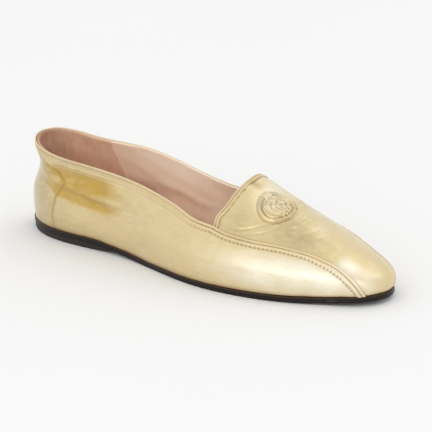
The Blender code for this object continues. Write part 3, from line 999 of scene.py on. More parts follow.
def ridgeGrooves(distance):
    return np.clip(-collarRidges(distance) / band["collarRidge"][0], 0.0, 1.0) ** 3


def bandHeight(part, at):
    (outer, *outerPlace), (inner, *innerPlace) = band["outerRidge"], band["innerRidge"]
    groove, grooveWidth = band["groove"]
    fineAt, finePitch = band["stitchA"]
    profile = (outer * bell(part, *outerPlace) + inner * bell(part, *innerPlace)
               - groove * bell(part, fineAt, grooveWidth))
    height = band["height"] + profile * (1.0 - 0.75 * collarPart)
    height = height + collarRidges(part * bandWidth) * collarPart * ease(part, 0.08, 0.2)
    height = height * (1.0 - (0.62 - 0.30 * collarPart) * ease(part, 0.80, 1.0))
    height = height - 0.5 * band["holeDepth"] * holes(at, finePitch) * bell(part, fineAt, 0.07)
    longHoles = band["holeDepth"] * holes(at, band["stitchB"][1], 0.42)
    height = height - longHoles * bell(part, 1.0, 0.12) * (1.0 - collarPart)
    return height + band["gather"] * gathers(at) * collarPart * bell(part, 0.7, 0.35)


# Soft patches of painted highlight and painted shade: middle, radii, amount, lighter above 0 (painted
# highlight) and duller below it (painted shade).
paintedLightShadePatches = [
    ((208.0, -32.0, 15.0), (27.0, 12.0, 11.0), 0.70),
    ((230.0, -20.0, 12.0), (17.0, 10.0, 8.0), 0.75),
    ((174.0, -38.0, 17.0), (24.0, 10.0, 8.0), 0.30),
    ((190.0, -36.0, 20.0), (16.0, 10.0, 5.5), 0.38),
    ((227.0, -20.0, 16.0), (10.0, 8.0, 5.0), 0.30),
    ((166.0, -11.0, 48.0), (7.0, 7.0, 6.0), -0.35),
    ((188.0, -38.0, 11.0), (18.0, 10.0, 5.0), 0.30),
    ((194.0, -10.0, 37.0), (9.0, 12.0, 6.0), -0.55),
    ((214.0, -10.0, 28.0), (12.0, 10.0, 6.0), -0.40),
    ((165.0, -8.0, 49.0), (9.0, 12.0, 8.0), 0.30),
    ((172.0, 7.0, 47.5), (9.0, 8.0, 7.0), 0.60),
    ((180.0, -8.0, 43.0), (13.0, 11.0, 8.0), 0.36),
    ((244.0, -10.0, 13.0), (8.0, 9.0, 8.0), 0.50),
    ((232.5, -9.6, 20.0), (7.0, 4.5, 4.5), 1.00),
    ((207.0, 0.0, 33.0), (5.0, 6.0, 5.0), 0.40),
    ((201.0, -13.0, 31.0), (10.0, 9.0, 6.0), -0.60),
    ((165.5, -1.0, 51.0), (3.4, 4.0, 4.0), -0.90),
    ((17.0, -21.0, 28.0), (13.0, 12.0, 26.0), -0.95),
    ((33.0, -26.0, 20.0), (12.0, 8.0, 16.0), -0.30),
    ((48.0, -26.5, 8.0), (24.0, 8.0, 6.0), -0.40),
    ((54.0, -24.0, 49.0), (36.0, 8.0, 5.0), -0.50),
    ((93.0, -27.0, 33.0), (14.0, 8.0, 8.0), -0.22),
    ((172.0, -29.5, 33.0), (12.0, 5.0, 4.5), -0.50),
    ((175.0, -16.0, 41.0), (8.0, 6.0, 5.0), -0.10),
    ((169.0, -23.0, 40.0), (7.0, 6.0, 5.0), -0.25),
    ((212.0, -25.0, 20.5), (15.0, 7.0, 5.0), 0.55),
    ((203.0, -22.0, 27.0), (16.0, 6.0, 4.0), -0.24),
]


# Sum of the painted highlights and painted shade at the points.
def paintedLightShadeAt(points, patches=paintedLightShadePatches):
    flat = points.reshape(-1, 3)
    paintedLightShade = np.zeros(len(flat))
    for middle, radii, amount in patches:
        paintedLightShade += amount * np.exp(-np.sum(((flat - np.array(middle)) / np.array(radii)) ** 2, axis=1))
    return paintedLightShade.reshape(points.shape[:-1])


# Values along the edge with the first and the last one doubled, as a column.
def withEnds(values):
    return np.concatenate([values[:1], values, values[-1:]])[:, None]


def makeBand():
    def level(value):
        return np.full_like(edgeAt, value)

    turns = np.radians([180.0, 150.0, 120.0, 90.0, 62.0, 38.0, 16.0])
    parts = np.concatenate([[0.16, 0.20, 0.25, 0.30, 0.34, 0.37, 0.40, 0.43, 0.46, 0.50],
                            np.linspace(0.55, 0.86, 7), [0.90, 0.93, 0.96, 0.98, 1.0]])
    radius = band["round"]
    top = bandHeight(level(0.14), edgeAt)
    section = [(level(radius * (1.0 - math.sin(turn))), top - radius + radius * math.cos(turn), 0.5)
               for turn in turns]
    section += [(part * bandWidth, bandHeight(level(part), edgeAt), part) for part in parts]
    section += [(bandWidth + 0.35, level(-0.38), 1.0), (bandWidth * 0.55, level(-0.42), 1.0)]
    order = np.argsort([np.mean(distance) for distance, height, part in section])
    places = walkOver(edgeShare, edgeRise, edgeInward, [section[i][0] for i in order])
    rows = [None] * len(section)
    for (share, rise), i in zip(places, order):
        rows[i] = layerPoints(share, rise, section[i][1])
    rows = np.stack(rows, axis=1)
    ends = []
    for end in (0, -1):
        outward = soleOutline(edgeShare[[end]])[1][0]
        ends.append(rows[end] - np.array([outward[0] * 0.8, outward[1] * 0.8, 0.3]))
    rows = np.concatenate([ends[0][None], rows, ends[1][None]])
    verts, faces = tube(rows)
    partRow = np.array([part for distance, height, part in section])
    onFold = np.arange(len(partRow)) < len(turns)
    # Lighter on the band's folded edge and ridges: painted highlight, with wear.
    rubAndHighlightRow = 0.55 * bell(partRow, 0.70, 0.16) + 0.45 * bell(partRow, 0.24, 0.1) + 0.50 * onFold
    rubAndHighlight = np.tile(rubAndHighlightRow, (len(rows), 1))
    onSeam = 1.0 - withEnds(collarPart)
    # Darker in the grooves, the needle holes and at the band's outer edge: painted shade, with deeper gold
    # there too.
    soilAndShade = bell(partRow, 0.40, 0.05)[None] * (0.10 + 0.75 * onSeam) + 0.14 * bell(partRow, 1.0, 0.06)[None]
    longHoles = holes(withEnds(edgeAt), band["stitchB"][1], 0.48)
    soilAndShade = soilAndShade + 0.95 * longHoles * bell(partRow, 1.0, 0.14)[None] * onSeam
    grooves = ridgeGrooves(partRow[None] * withEnds(bandWidth))
    soilAndShade = soilAndShade + 0.34 * grooves * ease(partRow, 0.1, 0.2)[None] * (1.0 - onSeam)
    addPiece("toplineBand", verts, faces, gold,
             {"rubAndHighlight": rubAndHighlight, "soilAndShade": soilAndShade, "paintedHollowShade": 0.4 * soilAndShade, "paintedLightShade": paintedLightShadeAt(verts)})


makeBand()
print("band made")


# Distance from the quarters' edge, and the length along it of the nearest place.
def nearEdge(points):
    flat = points.reshape(-1, 3)
    index = np.empty(len(flat), int)
    square = np.sum(edgeSpace ** 2, axis=1)
    for start in range(0, len(flat), blockSize):
        part = flat[start:start + blockSize]
        index[start:start + blockSize] = np.argmin(square[None] - 2 * part @ edgeSpace.T, axis=1)
    return distanceFrom(points, edgeSpace), index.reshape(points.shape[:-1])


panel = {
    # across and upward: length, end step, middle step, length of the finer ends
    "quarterGrid": ((235.0, 0.38, 0.85, 3.0), (52.0, 0.38, 0.85, 5.0)),
    "heelGrid": ((96.0, 0.38, 0.8, 3.0), (44.0, 0.6, 0.8, 2.0)),
    "thickness": 0.8,
    "tuckUnder": (1.1, 0.28),       # inward and down, below the sole's edge
    "seamRound": 0.6,
    "seamDepth": 0.34,
    "puff": (0.28, 0.7, 3.4),       # swell beside the band's outer stitches: height, top, half-width
    "underBand": 0.32,
    "stitchLine": (2.6, 0.35, 0.12),    # row beside the heel piece's seams: place, half-width, depth
}


# Closed seams dip where both edges turn in.
def closedSeam(distance):
    near = np.clip(1.0 - distance / panel["seamRound"], 0.0, 1.0)
    return -panel["seamDepth"] * (1.0 - np.sqrt(1.0 - near ** 2)) + 0.10 * bell(distance, 1.7, 1.1)


def tuckedUnder(grid, shares):
    inward, down = panel["tuckUnder"]
    outward = soleOutline(shares)[1]
    under = grid[0] - np.column_stack([outward * inward, np.full(len(outward), down)])
    return np.concatenate([under[None], grid])


def quarterLift(base, seams):
    distance, index = nearEdge(base)
    onCollar, at = collarPart[index], edgeAt[index]
    beyond = distance - bandWidth[index]
    puff, top, width = panel["puff"]
    swell = ease(beyond, -0.6, top) * bell(np.maximum(beyond - top, 0.0), 0.0, width)
    lift = puff * swell * (1.0 - 0.5 * onCollar)
    ridgeFade = ease(beyond, 0.0, 0.6) * bell(np.maximum(beyond, 0.0), 0.0, 2.6)
    lift = lift + collarRidges(distance) * onCollar * ridgeFade
    lift = lift - panel["underBand"] * (1.0 - ease(beyond, -1.5, -0.2))
    gatherFade = bell(beyond, 0.0, 3.5) * ease(beyond, -1.0, 0.5)
    lift = lift + 0.8 * band["gather"] * gathers(at) * onCollar * gatherFade
    dots = holes(at, band["stitchB"][1], 0.42) * bell(beyond, 0.15, 0.5) * (1.0 - onCollar)
    near = np.min([distanceFrom(base, seam) for seam in seams], axis=0)
    return lift - 0.14 * dots + closedSeam(near), beyond, near, dots


# Deeper gold painted into the hollows of the outer side, as painted shade and painted reflection: path in x
# and z, half-width, strength at its start and end.
hollowShadeStrokes = [
    ([(34.0, 43.2), (46.0, 43.0), (56.0, 42.9), (66.0, 42.4), (92.0, 40.0)], 3.0, (1.9, 1.1)),
    ([(36.0, 32.2), (47.5, 30.8), (54.6, 29.6), (62.0, 28.6), (72.0, 27.2), (94.0, 25.4)], 3.1, (2.2, 1.2)),
    ([(41.0, 37.8), (56.0, 36.6), (70.0, 36.2), (98.0, 34.6)], 2.8, (0.86, 0.85)),
    ([(22.0, 43.2), (30.0, 40.6), (40.0, 37.0)], 3.2, (0.75, 0.75)),
    ([(26.0, 35.6), (33.0, 33.4), (40.0, 32.4)], 2.6, (0.45, 0.95)),
]
# Broader patches of the same painted shade and reflection: middle in x and z, reach, amount.
hollowShadePatches = [
    ((68.0, 35.0), (18.0, 6.5), 0.42),
    ((31.0, 36.0), (6.0, 7.5), 0.30),
    ((16.0, 32.0), (9.0, 10.0), 0.20),
]


def leatherMarks(point, beyond, seam, dots, rise):
    flat = point.reshape(-1, 3)
    hollowShadeMask = np.zeros(len(flat))
    outer = (flat[:, 1] < -8.0) & (flat[:, 0] < 115.0)
    places = flat[outer][:, [0, 2]]
    for path, reach, (first, final) in hollowShadeStrokes:
        side, part, past = nearPath(places, path)
        fade = ease(part, -0.04, 0.06) * (1.0 - ease(part, 0.50, 1.0)) * bell(past, 0.0, 1.5)
        hollowShadeMask[outer] += (first + (final - first) * part) * bell(side, 0.0, reach) * fade
    for (middleX, middleZ), (reachX, reachZ), amount in hollowShadePatches:
        hollowShadeMask[outer] += amount * bell(places[:, 0], middleX, reachX) * bell(places[:, 1], middleZ, reachZ)
    hollowShadeMask = np.clip(hollowShadeMask, 0.0, 1.0).reshape(rise.shape)
    # Darker at the sole's joint and along seams; painted shade under the band's edge and in the needle holes.
    soilAndShade = (0.75 * bell(rise, 0.0, 0.035) + 0.20 * bell(seam, 0.0, 0.40)
            + 0.14 * bell(beyond, 0.0, 0.5) + 0.95 * dots)
    # Deeper gold in the hollows and along seams is painted shade and reflection.
    return {"paintedHollowShade": hollowShadeMask + 0.95 * bell(seam, 0.0, 1.1), "soilAndShade": soilAndShade,
            "rubAndHighlight": 0.3 * bell(beyond, 1.0, 1.0), "paintedLightShade": paintedLightShadeAt(point)}


# Values of a mark for both sides of a shell.
def twice(values):
    return np.concatenate([values.ravel()] * 2)


def makePanel(name, share, rise, lift, marks):
    outer = tuckedUnder(layerPoints(share, rise, lift), share[0])
    inner = tuckedUnder(layerPoints(share, rise, np.minimum(lift, 0.0) - panel["thickness"]), share[0])
    verts, faces = shell(outer, inner)
    both = {mark: twice(np.vstack([values[:1], values])) for mark, values in marks.items()}
    addPiece(name, verts, faces, gold, both)


# A path just inside the quarters' edge, where the panels end under the band.
hiddenShare, hiddenRise = walkOver(edgeShare, edgeRise, edgeInward, [0.8, 1.6])[-1]


# Seam in space from its shares and rises, with even numbers of places between them.
def seamInSpace(share, rise, count=400):
    seam = lastPoint(share, rise)
    return resampled(np.linspace(0.0, 1.0, count), np.linspace(0.0, 1.0, len(seam)), seam)


def makeQuarter(name, mirrored):
    sign = -1.0 if mirrored else 1.0
    heelShare, heelRise = splinePlaces(innerHeelSeam, 200) if mirrored else np.array(heelSeam).T
    share, rise = (hiddenShare[::-1], hiddenRise[::-1]) if mirrored else (hiddenShare, hiddenRise)
    share = share * sign
    inRange = (share > 0.07) & ((rise > 0.30) | (share < 0.40))
    topShare, topRise = share[inRange][::-1], rise[inRange][::-1]
    heelShare = heelShare * sign
    topShare, topRise = (
        np.concatenate([[start, 0.5 * (start + rest[0])], rest])
        for start, rest in ((heelShare[-1], topShare), (heelRise[-1], topRise)))
    toeLength = np.linspace(0.0, 1.0, 12)
    toeEnd = (-innerPlugSeam[-1][0] if mirrored else plugSeam[-1][0]) - 0.0002
    toeShare = toeEnd + (topShare[-1] - toeEnd) * toeLength
    toeRise = topRise[-1] * toeLength
    bottomShare = np.linspace(heelShare[0], toeEnd, 300)
    across, upward = (spaced(*sizes) for sizes in panel["quarterGrid"])
    share, rise = patch((bottomShare, np.zeros(300)), (topShare, topRise), (heelShare, heelRise),
                        (toeShare, toeRise), across, upward)
    share = share * sign
    base = lastPoint(share, rise)
    heelShare = heelShare * sign
    seam = (smoothPath(lastPoint(heelShare, heelRise), 300) if mirrored
            else seamInSpace(heelShare, heelRise))
    lift, beyond, near, dots = quarterLift(base, [seam])
    makePanel(name, share, rise, lift, leatherMarks(base, beyond, near, dots, rise))


makeQuarter("quarterOuter", False)
makeQuarter("quarterInner", True)
print("quarters made")


def makeHeelPiece():
    inner, outer = splinePlaces(innerHeelSeam, 200), np.array(heelSeam).T
    across, upward = (spaced(*sizes) for sizes in panel["heelGrid"])
    bottom = np.linspace(innerHeelSeam[0][0], heelSeam[0][0], 50), np.zeros(50)
    top = np.linspace(innerHeelSeam[-1][0], heelSeam[-1][0], 50), np.full(50, 0.9)
    share, rise = patch(bottom, top, inner, outer, across, upward)
    base = lastPoint(share, rise)
    lift, beyond, near, dots = quarterLift(base, [seamInSpace(*outer), seamInSpace(*inner)])
    lineAt, lineWidth, lineDepth = panel["stitchLine"]
    lift = lift - lineDepth * bell(near, lineAt, lineWidth)
    marks = leatherMarks(base, beyond, near, dots, rise)
    # Darker in the stitch line's groove: painted shade.
    marks["soilAndShade"] = marks["soilAndShade"] + 0.12 * bell(near, lineAt, 0.4)
    makePanel("heelPiece", share, rise, lift, marks)


makeHeelPiece()
print("heel piece made")

tongue = {
    # the plug's grid across and upward: start, length, step, the whole length first
    "grid": ([(0.0, 66.0, 0.52), (27.0, 24.0, 0.26)],
             [(0.0, 96.0, 0.54), (53.0, 35.0, 0.30), (91.0, 5.0, 0.24)]),
    "fold": 0.52,
    "round": 0.5,
    "rows": ((1.30, 1.45), (3.10, 1.75)),     # distance from the edge, pitch
    "grooveDepth": 0.52,
    "edgeDrop": 0.55,
    "sideReach": (0.3, 1.7),    # how far the plug ends inside the seam: at the throat, added below it
}

motif = {
    "centre": (181.8, -4.6),
    "radii": (8.4, 10.8),
    "relief": 1.0,
    # height, part of the radii, half-width
    "rings": [(1.0, 1.0, 0.062), (0.85, 0.79, 0.050), (-0.55, 0.895, 0.040), (-0.40, 1.15, 0.07),
              (-0.30, 0.69, 0.05)],
    "leafTurn": 62.0,
    "leafLength": 15.0,
    "leafWidth": 4.3,
}


# Embossed medallion: two oval rings round a veined leaf.
def motifHeight(point):
    p, q = point[..., 0] - motif["centre"][0], point[..., 1] - motif["centre"][1]
    oval = np.hypot(p / motif["radii"][0], q / motif["radii"][1])
    rings = sum(height * bell(oval, place, width) for height, place, width in motif["rings"])
    turn = math.radians(motif["leafTurn"])
    along, side = p * math.cos(turn) + q * math.sin(turn), q * math.cos(turn) - p * math.sin(turn)
    t = np.clip(along / motif["leafLength"] + 0.5, 0.0, 1.0)
    half = motif["leafWidth"] * np.sin(np.pi * t ** 1.2) ** 0.8
    inside = ease(half - np.abs(side), -0.35, 0.45) * ease(half, 0.0, 0.5)
    rim = bell(np.abs(side) - half, 0.0, 0.42) * ease(half, 0.2, 0.9)
    veins = np.cos(2.0 * np.pi * (along - 0.85 * np.abs(side)) / 3.0)
    rib = bell(side, 0.0, 0.42) * ease(0.5 * motif["leafLength"] + 0.4 - np.abs(along), 0.0, 0.8)
    leaf = 0.70 * rim + inside * (0.10 + 0.55 * veins) * (1.0 - 0.7 * bell(side, 0.0, 0.7)) + 0.90 * rib
    return motif["relief"] * (rings + leaf)


def makePlug():
    outward = np.maximum(throatAt[0] - edgeAt, edgeAt - throatAt[1])
    atThroat, added = tongue["sideReach"]
    reach = atThroat + added * ease(outward, 1.0, 8.0)
    share, rise = walkOver(edgeShare, edgeRise, edgeInward, [0.5 * reach, reach])[-1]
    outer, inner = edgeAt <= throatAt[0], edgeAt >= throatAt[1]
    corner = last["throat"] + 0.0002
    left = np.append(share[outer], corner), np.append(rise[outer], 1.0)
    right = np.append(1.0 + share[inner][::-1], 1.0 - corner), np.append(rise[inner][::-1], 1.0)
    across, upward = (denser(spans) for spans in tongue["grid"])
    bottom = np.linspace(left[0][0], right[0][0], 60), np.zeros(60)
    top = np.linspace(left[0][-1], right[0][-1], 400), np.ones(400)
    share, rise = patch(bottom, top, left, right, across, upward)
    base = lastPoint(share, rise)
    fromTongue = distanceFrom(base, tongueSpace)
    gaps = base.reshape(-1, 1, 3)[..., :2] - tongueSpace[None, ::4, :2]
    at = tongueAt[::4][np.argmin(np.linalg.norm(gaps, axis=2), axis=1)].reshape(share.shape)
    fold = tongue["fold"] * (1.0 - ease(fromTongue, 2.9, 3.5)) + 0.14 * bell(fromTongue, 2.2, 0.5)
    for away, pitch in tongue["rows"]:
        fold = fold - (tongue["grooveDepth"] + 0.10 * holes(at, pitch, 0.35)) * bell(fromTongue, away, 0.32)
    rounding = np.clip(1.0 - fromTongue / tongue["round"], 0.0, 1.0)
    fold = fold - tongue["edgeDrop"] * (1.0 - np.sqrt(1.0 - rounding ** 2))
    distance = distanceFrom(base, edgeSpace)
    relief = motifHeight(base)
    lift = fold + relief - 0.10 * bell(distance, 0.0, 1.4)
    raised, sunk = (np.clip(sign * relief / motif["relief"], 0.0, 1.0) for sign in (1.0, -1.0))
    # Darker at the foot; painted shade beside the quarters' edge, in the motif's sunk lines and along the
    # stitch rows.
    soilAndShade = 0.5 * bell(rise, 0.0, 0.03) + 0.45 * bell(distance, 0.0, 0.5) + 1.3 * sunk
    for away, pitch in tongue["rows"]:
        soilAndShade = soilAndShade + 0.75 * bell(fromTongue, away, 0.30) * (0.4 + 0.6 * holes(at, pitch, 0.35))
    # Lighter at the tongue's edge, its ridge and the motif's raised lines: painted highlight, with wear.
    rubAndHighlight = 0.45 * bell(fromTongue, 0.3, 0.4) + 0.25 * bell(fromTongue, 2.1, 0.6) + 0.25 * raised
    # Deeper gold beside the quarters' edge and in the sunk lines: painted shade.
    marks = {"paintedHollowShade": 0.3 * bell(distance, 0.0, 1.0) + 0.5 * sunk, "soilAndShade": soilAndShade, "rubAndHighlight": rubAndHighlight,
             "paintedLightShade": paintedLightShadeAt(base)}
    makePanel("plug", share, rise, lift, marks)


makePlug()
print("plug made")

threadSizes = {
    "sides": 6,
    "rings": 6,
    "arch": 0.10,
    "sink": 0.22,
    "start": 0.14,          # start and length as parts of the pitch
    "length": 0.72,
    "taper": 0.35,
}


# Stitches along a row of points: short bowed threads whose ends go down the needle holes.
def stitchRows(name, rows):
    sizes = threadSizes
    allVerts, allFaces, along, around, count = [], [], [], [], 0
    turn = 2.0 * np.pi * np.arange(sizes["sides"]) / sizes["sides"]
    part = np.linspace(0.0, 1.0, sizes["rings"])
    bow = sizes["arch"] * np.sin(np.pi * part) - sizes["sink"] * (2.0 * part - 1.0) ** 4
    for points, normals, pitch, first, lastAt, radius in rows:
        length = lengthsAlong(points)
        number = int((min(length[-1], lastAt) - first) / pitch)
        starts = first + pitch * np.arange(number) + sizes["start"] * pitch
        at = starts[:, None] + sizes["length"] * pitch * part[None]
        up = unit(resampled(at, length, normals))
        middle = resampled(at, length, points) + up * bow[None, :, None]
        forward = unit(np.gradient(middle, axis=1))
        side = unit(np.cross(up, forward))
        over = np.cross(forward, side)
        thick = radius * (1.0 - sizes["taper"] * (2.0 * part - 1.0) ** 6)
        away = np.cos(turn)[:, None] * side[:, :, None] + np.sin(turn)[:, None] * over[:, :, None]
        ring = middle[:, :, None] + thick[None, :, None, None] * away
        index = count + np.arange(number * len(part) * len(turn)).reshape(number, len(part), len(turn))
        wrapped = np.concatenate([index, index[:, :, :1]], axis=2)
        quads = np.stack([wrapped[:, :-1, :-1], wrapped[:, :-1, 1:], wrapped[:, 1:, 1:],
                          wrapped[:, 1:, :-1]], axis=-1)
        allFaces += quads.reshape(-1, 4).tolist() + index[:, 0, ::-1].tolist() + index[:, -1].tolist()
        allVerts.append(ring.reshape(-1, 3))
        along.append(np.broadcast_to(at[:, :, None], index.shape).ravel())
        around.append(np.broadcast_to(turn / (2.0 * np.pi), index.shape).ravel())
        count += index.size
    marks = {"along": np.concatenate(along), "around": np.concatenate(around)}
    addPiece(name, np.vstack(allVerts), allFaces, thread, marks)


def bandRow(part, height):
    share, rise = walkOver(edgeShare, edgeRise, edgeInward, [0.5 * part * bandWidth, part * bandWidth])[-1]
    return layerPoints(share, rise, height), lastSlopes(share, rise)[2]


def makeBandStitches():
    before, after = np.searchsorted(edgeAt, [throatAt[0] + 4.0, throatAt[1] - 4.0])
    rows = []
    for (place, pitch), height, radius in ((band["stitchA"], 0.22, 0.14), (band["stitchB"], 0.10, 0.17)):
        points, normals = bandRow(place, height)
        for part in (slice(0, before), slice(after, None)):
            length = lengthsAlong(points[part])[-1]
            rows.append((points[part], normals[part], pitch, 0.6, length - 0.6, radius))
    stitchRows("seamStitches", rows)


makeBandStitches()


def makeTongueStitches():
    rows = []
    for away, pitch in tongue["rows"]:
        share, rise = walkOver(tongueShare, tongueRise, tongueInward, [0.5 * away, away])[-1]
        points = layerPoints(share, rise, tongue["fold"] - 0.30)
        rows.append((points, lastSlopes(share, rise)[2], pitch, 0.9, lengthsAlong(points)[-1] - 0.9, 0.17))
    stitchRows("tongueStitches", rows)


makeTongueStitches()
print("stitches made")

liningSizes = {
    "hidden": (-0.62, -1.0),        # height of the side against the leather, at the edge and lower
    "inside": -1.65,
    "gripInside": -2.05,
    "rows": (40, 36),               # of the lining and the grip
    "columns": 400,
    "gripGrid": (112.0, 0.35, 1.0, 2.0),
    "gripRound": (0.55, 0.7),       # drop and width of the grip's ends
    "lowest": 0.03,
    "end": 0.088,                   # share where the lining starts, under the grip
    "edgeLifts": (-1.55, -1.30, -0.98),     # last rows below the edge
    "gripEdgeLifts": (-1.66, -1.36, -1.0),
    "foldHeight": 0.75,
    "fold": [(66.0, 28.6), (76.0, 27.6), (86.0, 27.0), (95.0, 25.4), (104.0, 22.4), (114.0, 20.4),
             (126.0, 19.6)],
    "gripEdge": [(0.112, 0.0), (0.110, 0.25), (0.105, 0.5), (0.0995, 0.74), (0.0965, 0.86), (0.0960, 1.0)],
}
topGaps = np.array([0.22, 0.34, 0.55, 0.9, 1.5, 2.4, 3.6])


# Length of the whole rise, from its slope just under the top edge.
def riseLength(share):
    return np.linalg.norm(lastSlopes(share, np.full_like(share, 0.97))[1], axis=1)


# Rises of rows that keep set gaps from the top edge and are even below them, and every
# row's gap from the edge.
def liningRises(share, count):
    length = riseLength(share)[None]
    top = 1.0 - topGaps[:, None] / length
    lowest = liningSizes["lowest"]
    lower = lowest + (top[-1][None] - lowest) * np.linspace(0.0, 1.0, count)[:, None]
    rise = np.vstack([lower, top[::-1][1:]])
    return rise, (1.0 - rise) * length


def liningDepth(share, rise, inside):
    base = lastPoint(share, rise).reshape(-1, 3)
    x, y, z = base.T
    side, part, past = nearPath(base[:, [0, 2]], liningSizes["fold"])
    isInner = ease(y, 5.0, 12.0)
    ridge = bell(side, 2.2, 2.4) - 0.30 * bell(side, -2.4, 2.6)
    fade = ease(part, 0.0, 0.25) * ease(1.0 - part, 0.0, 0.35) * bell(past, 0.0, 3.0)
    soft = 0.14 * np.sin(0.33 * x + 0.5 * z + 0.6) * np.sin(0.21 * z - 0.11 * x + 1.2)
    return inside - (liningSizes["foldHeight"] * ridge * fade * isInner + soft).reshape(share.shape)


# Painted light and painted shade on the linings: middle, radii, amount; lighter where more light reaches in,
# darker in the shade at the heel and below the fold.
liningLightShadePatches = [
    ((66.0, 24.0, 43.0), (40.0, 6.0, 9.0), 0.95),
    ((118.0, 24.0, 18.0), (16.0, 7.0, 8.0), 0.95),
    ((92.0, 24.0, 36.0), (24.0, 6.0, 8.0), 0.80),
    ((134.0, 26.0, 16.0), (12.0, 8.0, 6.0), 0.55),
    ((64.0, 25.0, 25.0), (26.0, 6.0, 5.0), -0.60),
    ((6.0, 6.0, 47.0), (13.0, 13.0, 13.0), -0.62),
    ((5.0, -8.0, 44.0), (12.0, 10.0, 14.0), -0.35),
]


def addLining(name, share, rise, gap, lift, rubAndHighlight, soilAndShade, finish):
    atEdge, lower = liningSizes["hidden"]
    hidden = layerPoints(share, rise, atEdge + (lower - atEdge) * ease(gap, 1.2, 3.5))
    verts, faces = shell(hidden, layerPoints(share, rise, lift))
    marks = {"rubAndHighlight": twice(rubAndHighlight), "soilAndShade": twice(soilAndShade), "paintedLightShade": paintedLightShadeAt(verts, liningLightShadePatches)}
    addPiece(name, verts, faces, finish, marks)


def makeLining():
    shares = np.linspace(liningSizes["end"], 1.0 - liningSizes["end"], liningSizes["columns"])
    rise, gap = liningRises(shares, liningSizes["rows"][0])
    share = np.broadcast_to(shares, rise.shape)
    lift = liningDepth(share, rise, liningSizes["inside"])
    lift[-3:] = np.array(liningSizes["edgeLifts"])[:, None]
    # Lighter along the top edge, wear and painted highlight; darker towards the bottom, painted shade.
    rubAndHighlight, soilAndShade = 0.75 * bell(gap, 0.3, 0.7), 0.8 * bell(rise, 0.0, 0.12)
    addLining("lining", share, rise, gap, lift, rubAndHighlight, soilAndShade, lining)


def makeGrip():
    edgeShares, edgeRises = np.array(liningSizes["gripEdge"]).T
    across = spaced(*liningSizes["gripGrid"]) * 2.0 - 1.0
    rise, gap = liningRises(across * edgeShares[-1], liningSizes["rows"][1])
    share = across[None] * np.interp(rise, edgeRises, edgeShares)
    fromEnd = (1.0 - np.abs(across)) * 0.5 * liningSizes["gripGrid"][0]
    drop, width = liningSizes["gripRound"]
    rounding = drop * (1.0 - np.sqrt(1.0 - np.clip(1.0 - fromEnd / width, 0.0, 1.0) ** 2))
    lift = liningDepth(share, rise, liningSizes["gripInside"]) + rounding[None]
    lift[-3:] = np.array(liningSizes["gripEdgeLifts"])[:, None]
    lift[-4] = np.maximum(lift[-4], -1.95)
    # Lighter along the top edge and the ends, wear and painted highlight; darker low down and in the middle
    # at the back, painted shade.
    rubAndHighlight = 0.65 * bell(gap, 0.3, 0.6) + 0.25 * bell(fromEnd, 0.0, 0.8)[None]
    soilAndShade = 0.5 * bell(rise, 0.0, 0.2) + 0.5 * bell(across, 0.0, 0.30)[None] * ease(rise, 0.2, 0.6)
    addLining("heelGrip", share, rise, gap, lift, rubAndHighlight, soilAndShade, grip)


makeLining()
makeGrip()
print("lining made")


# Sole-shaped solid: rings of (inset, surface, height over it) from the top's rim to the
# bottom's rim, each closed by rows across. Crown gives the height to add over a place on
# the top or bottom.
def soleSolid(shares, rings, inset, topCrown=None, bottomCrown=None, acrossCount=14):
    point, outward = soleOutline(shares)
    count = len(shares)
    half = count // 2
    verts = []
    for extra, surface, height in rings:
        edge = point - outward * (inset + extra)
        verts.append(np.column_stack([edge, surface(edge[:, 0]) + height]))
    faces = []
    for k in range(len(rings) - 1):
        for i in range(count):
            j = (i + 1) % count
            faces.append([k * count + i, k * count + j, (k + 1) * count + j, (k + 1) * count + i])
    inside = []
    total = len(rings) * count
    for ring, crown, flip in ((0, topCrown, False), (len(rings) - 1, bottomCrown, True)):
        rim = verts[ring]
        index = np.empty((half + 1, acrossCount + 1), int)
        for i in range(half + 1):
            a, b = ring * count + i, ring * count + (count - i) % count
            index[i, 0], index[i, -1] = a, b
            if a == b:
                index[i, :] = a
                continue
            part = np.arange(1, acrossCount) / acrossCount
            row = rim[i] + (rim[(count - i) % count] - rim[i]) * part[:, None]
            if crown:
                row[:, 2] += crown(row[:, 0], 2.0 * part - 1.0)
            index[i, 1:-1] = total + np.arange(acrossCount - 1)
            total += acrossCount - 1
            inside.append(row)
        for i in range(half):
            for j in range(acrossCount):
                around = index[i, j], index[i + 1, j], index[i + 1, j + 1], index[i, j + 1]
                corners = list(dict.fromkeys(around))
                if len(corners) > 2:
                    faces.append([int(c) for c in (corners[::-1] if flip else corners)])
    verts = np.vstack(verts + inside)
    quads = np.array([face for face in faces if len(face) == 4])
    if enclosedVolume(verts, quads) < 0.0:
        faces = [face[::-1] for face in faces]
    return verts, faces


outsole = {
    "edgeRound": 0.6,
    "channelInset": 3.4,
    "channelDepth": 0.25,
    "crowding": 0.12,       # places move towards the heel and toe
}


def roundedShares(count):
    turn = np.linspace(0.0, 1.0, count // 2 + 1)
    outer = 0.5 * (turn - outsole["crowding"] * np.sin(2.0 * np.pi * turn) / (2.0 * np.pi))
    return np.concatenate([outer, 1.0 - outer[1:-1][::-1]])


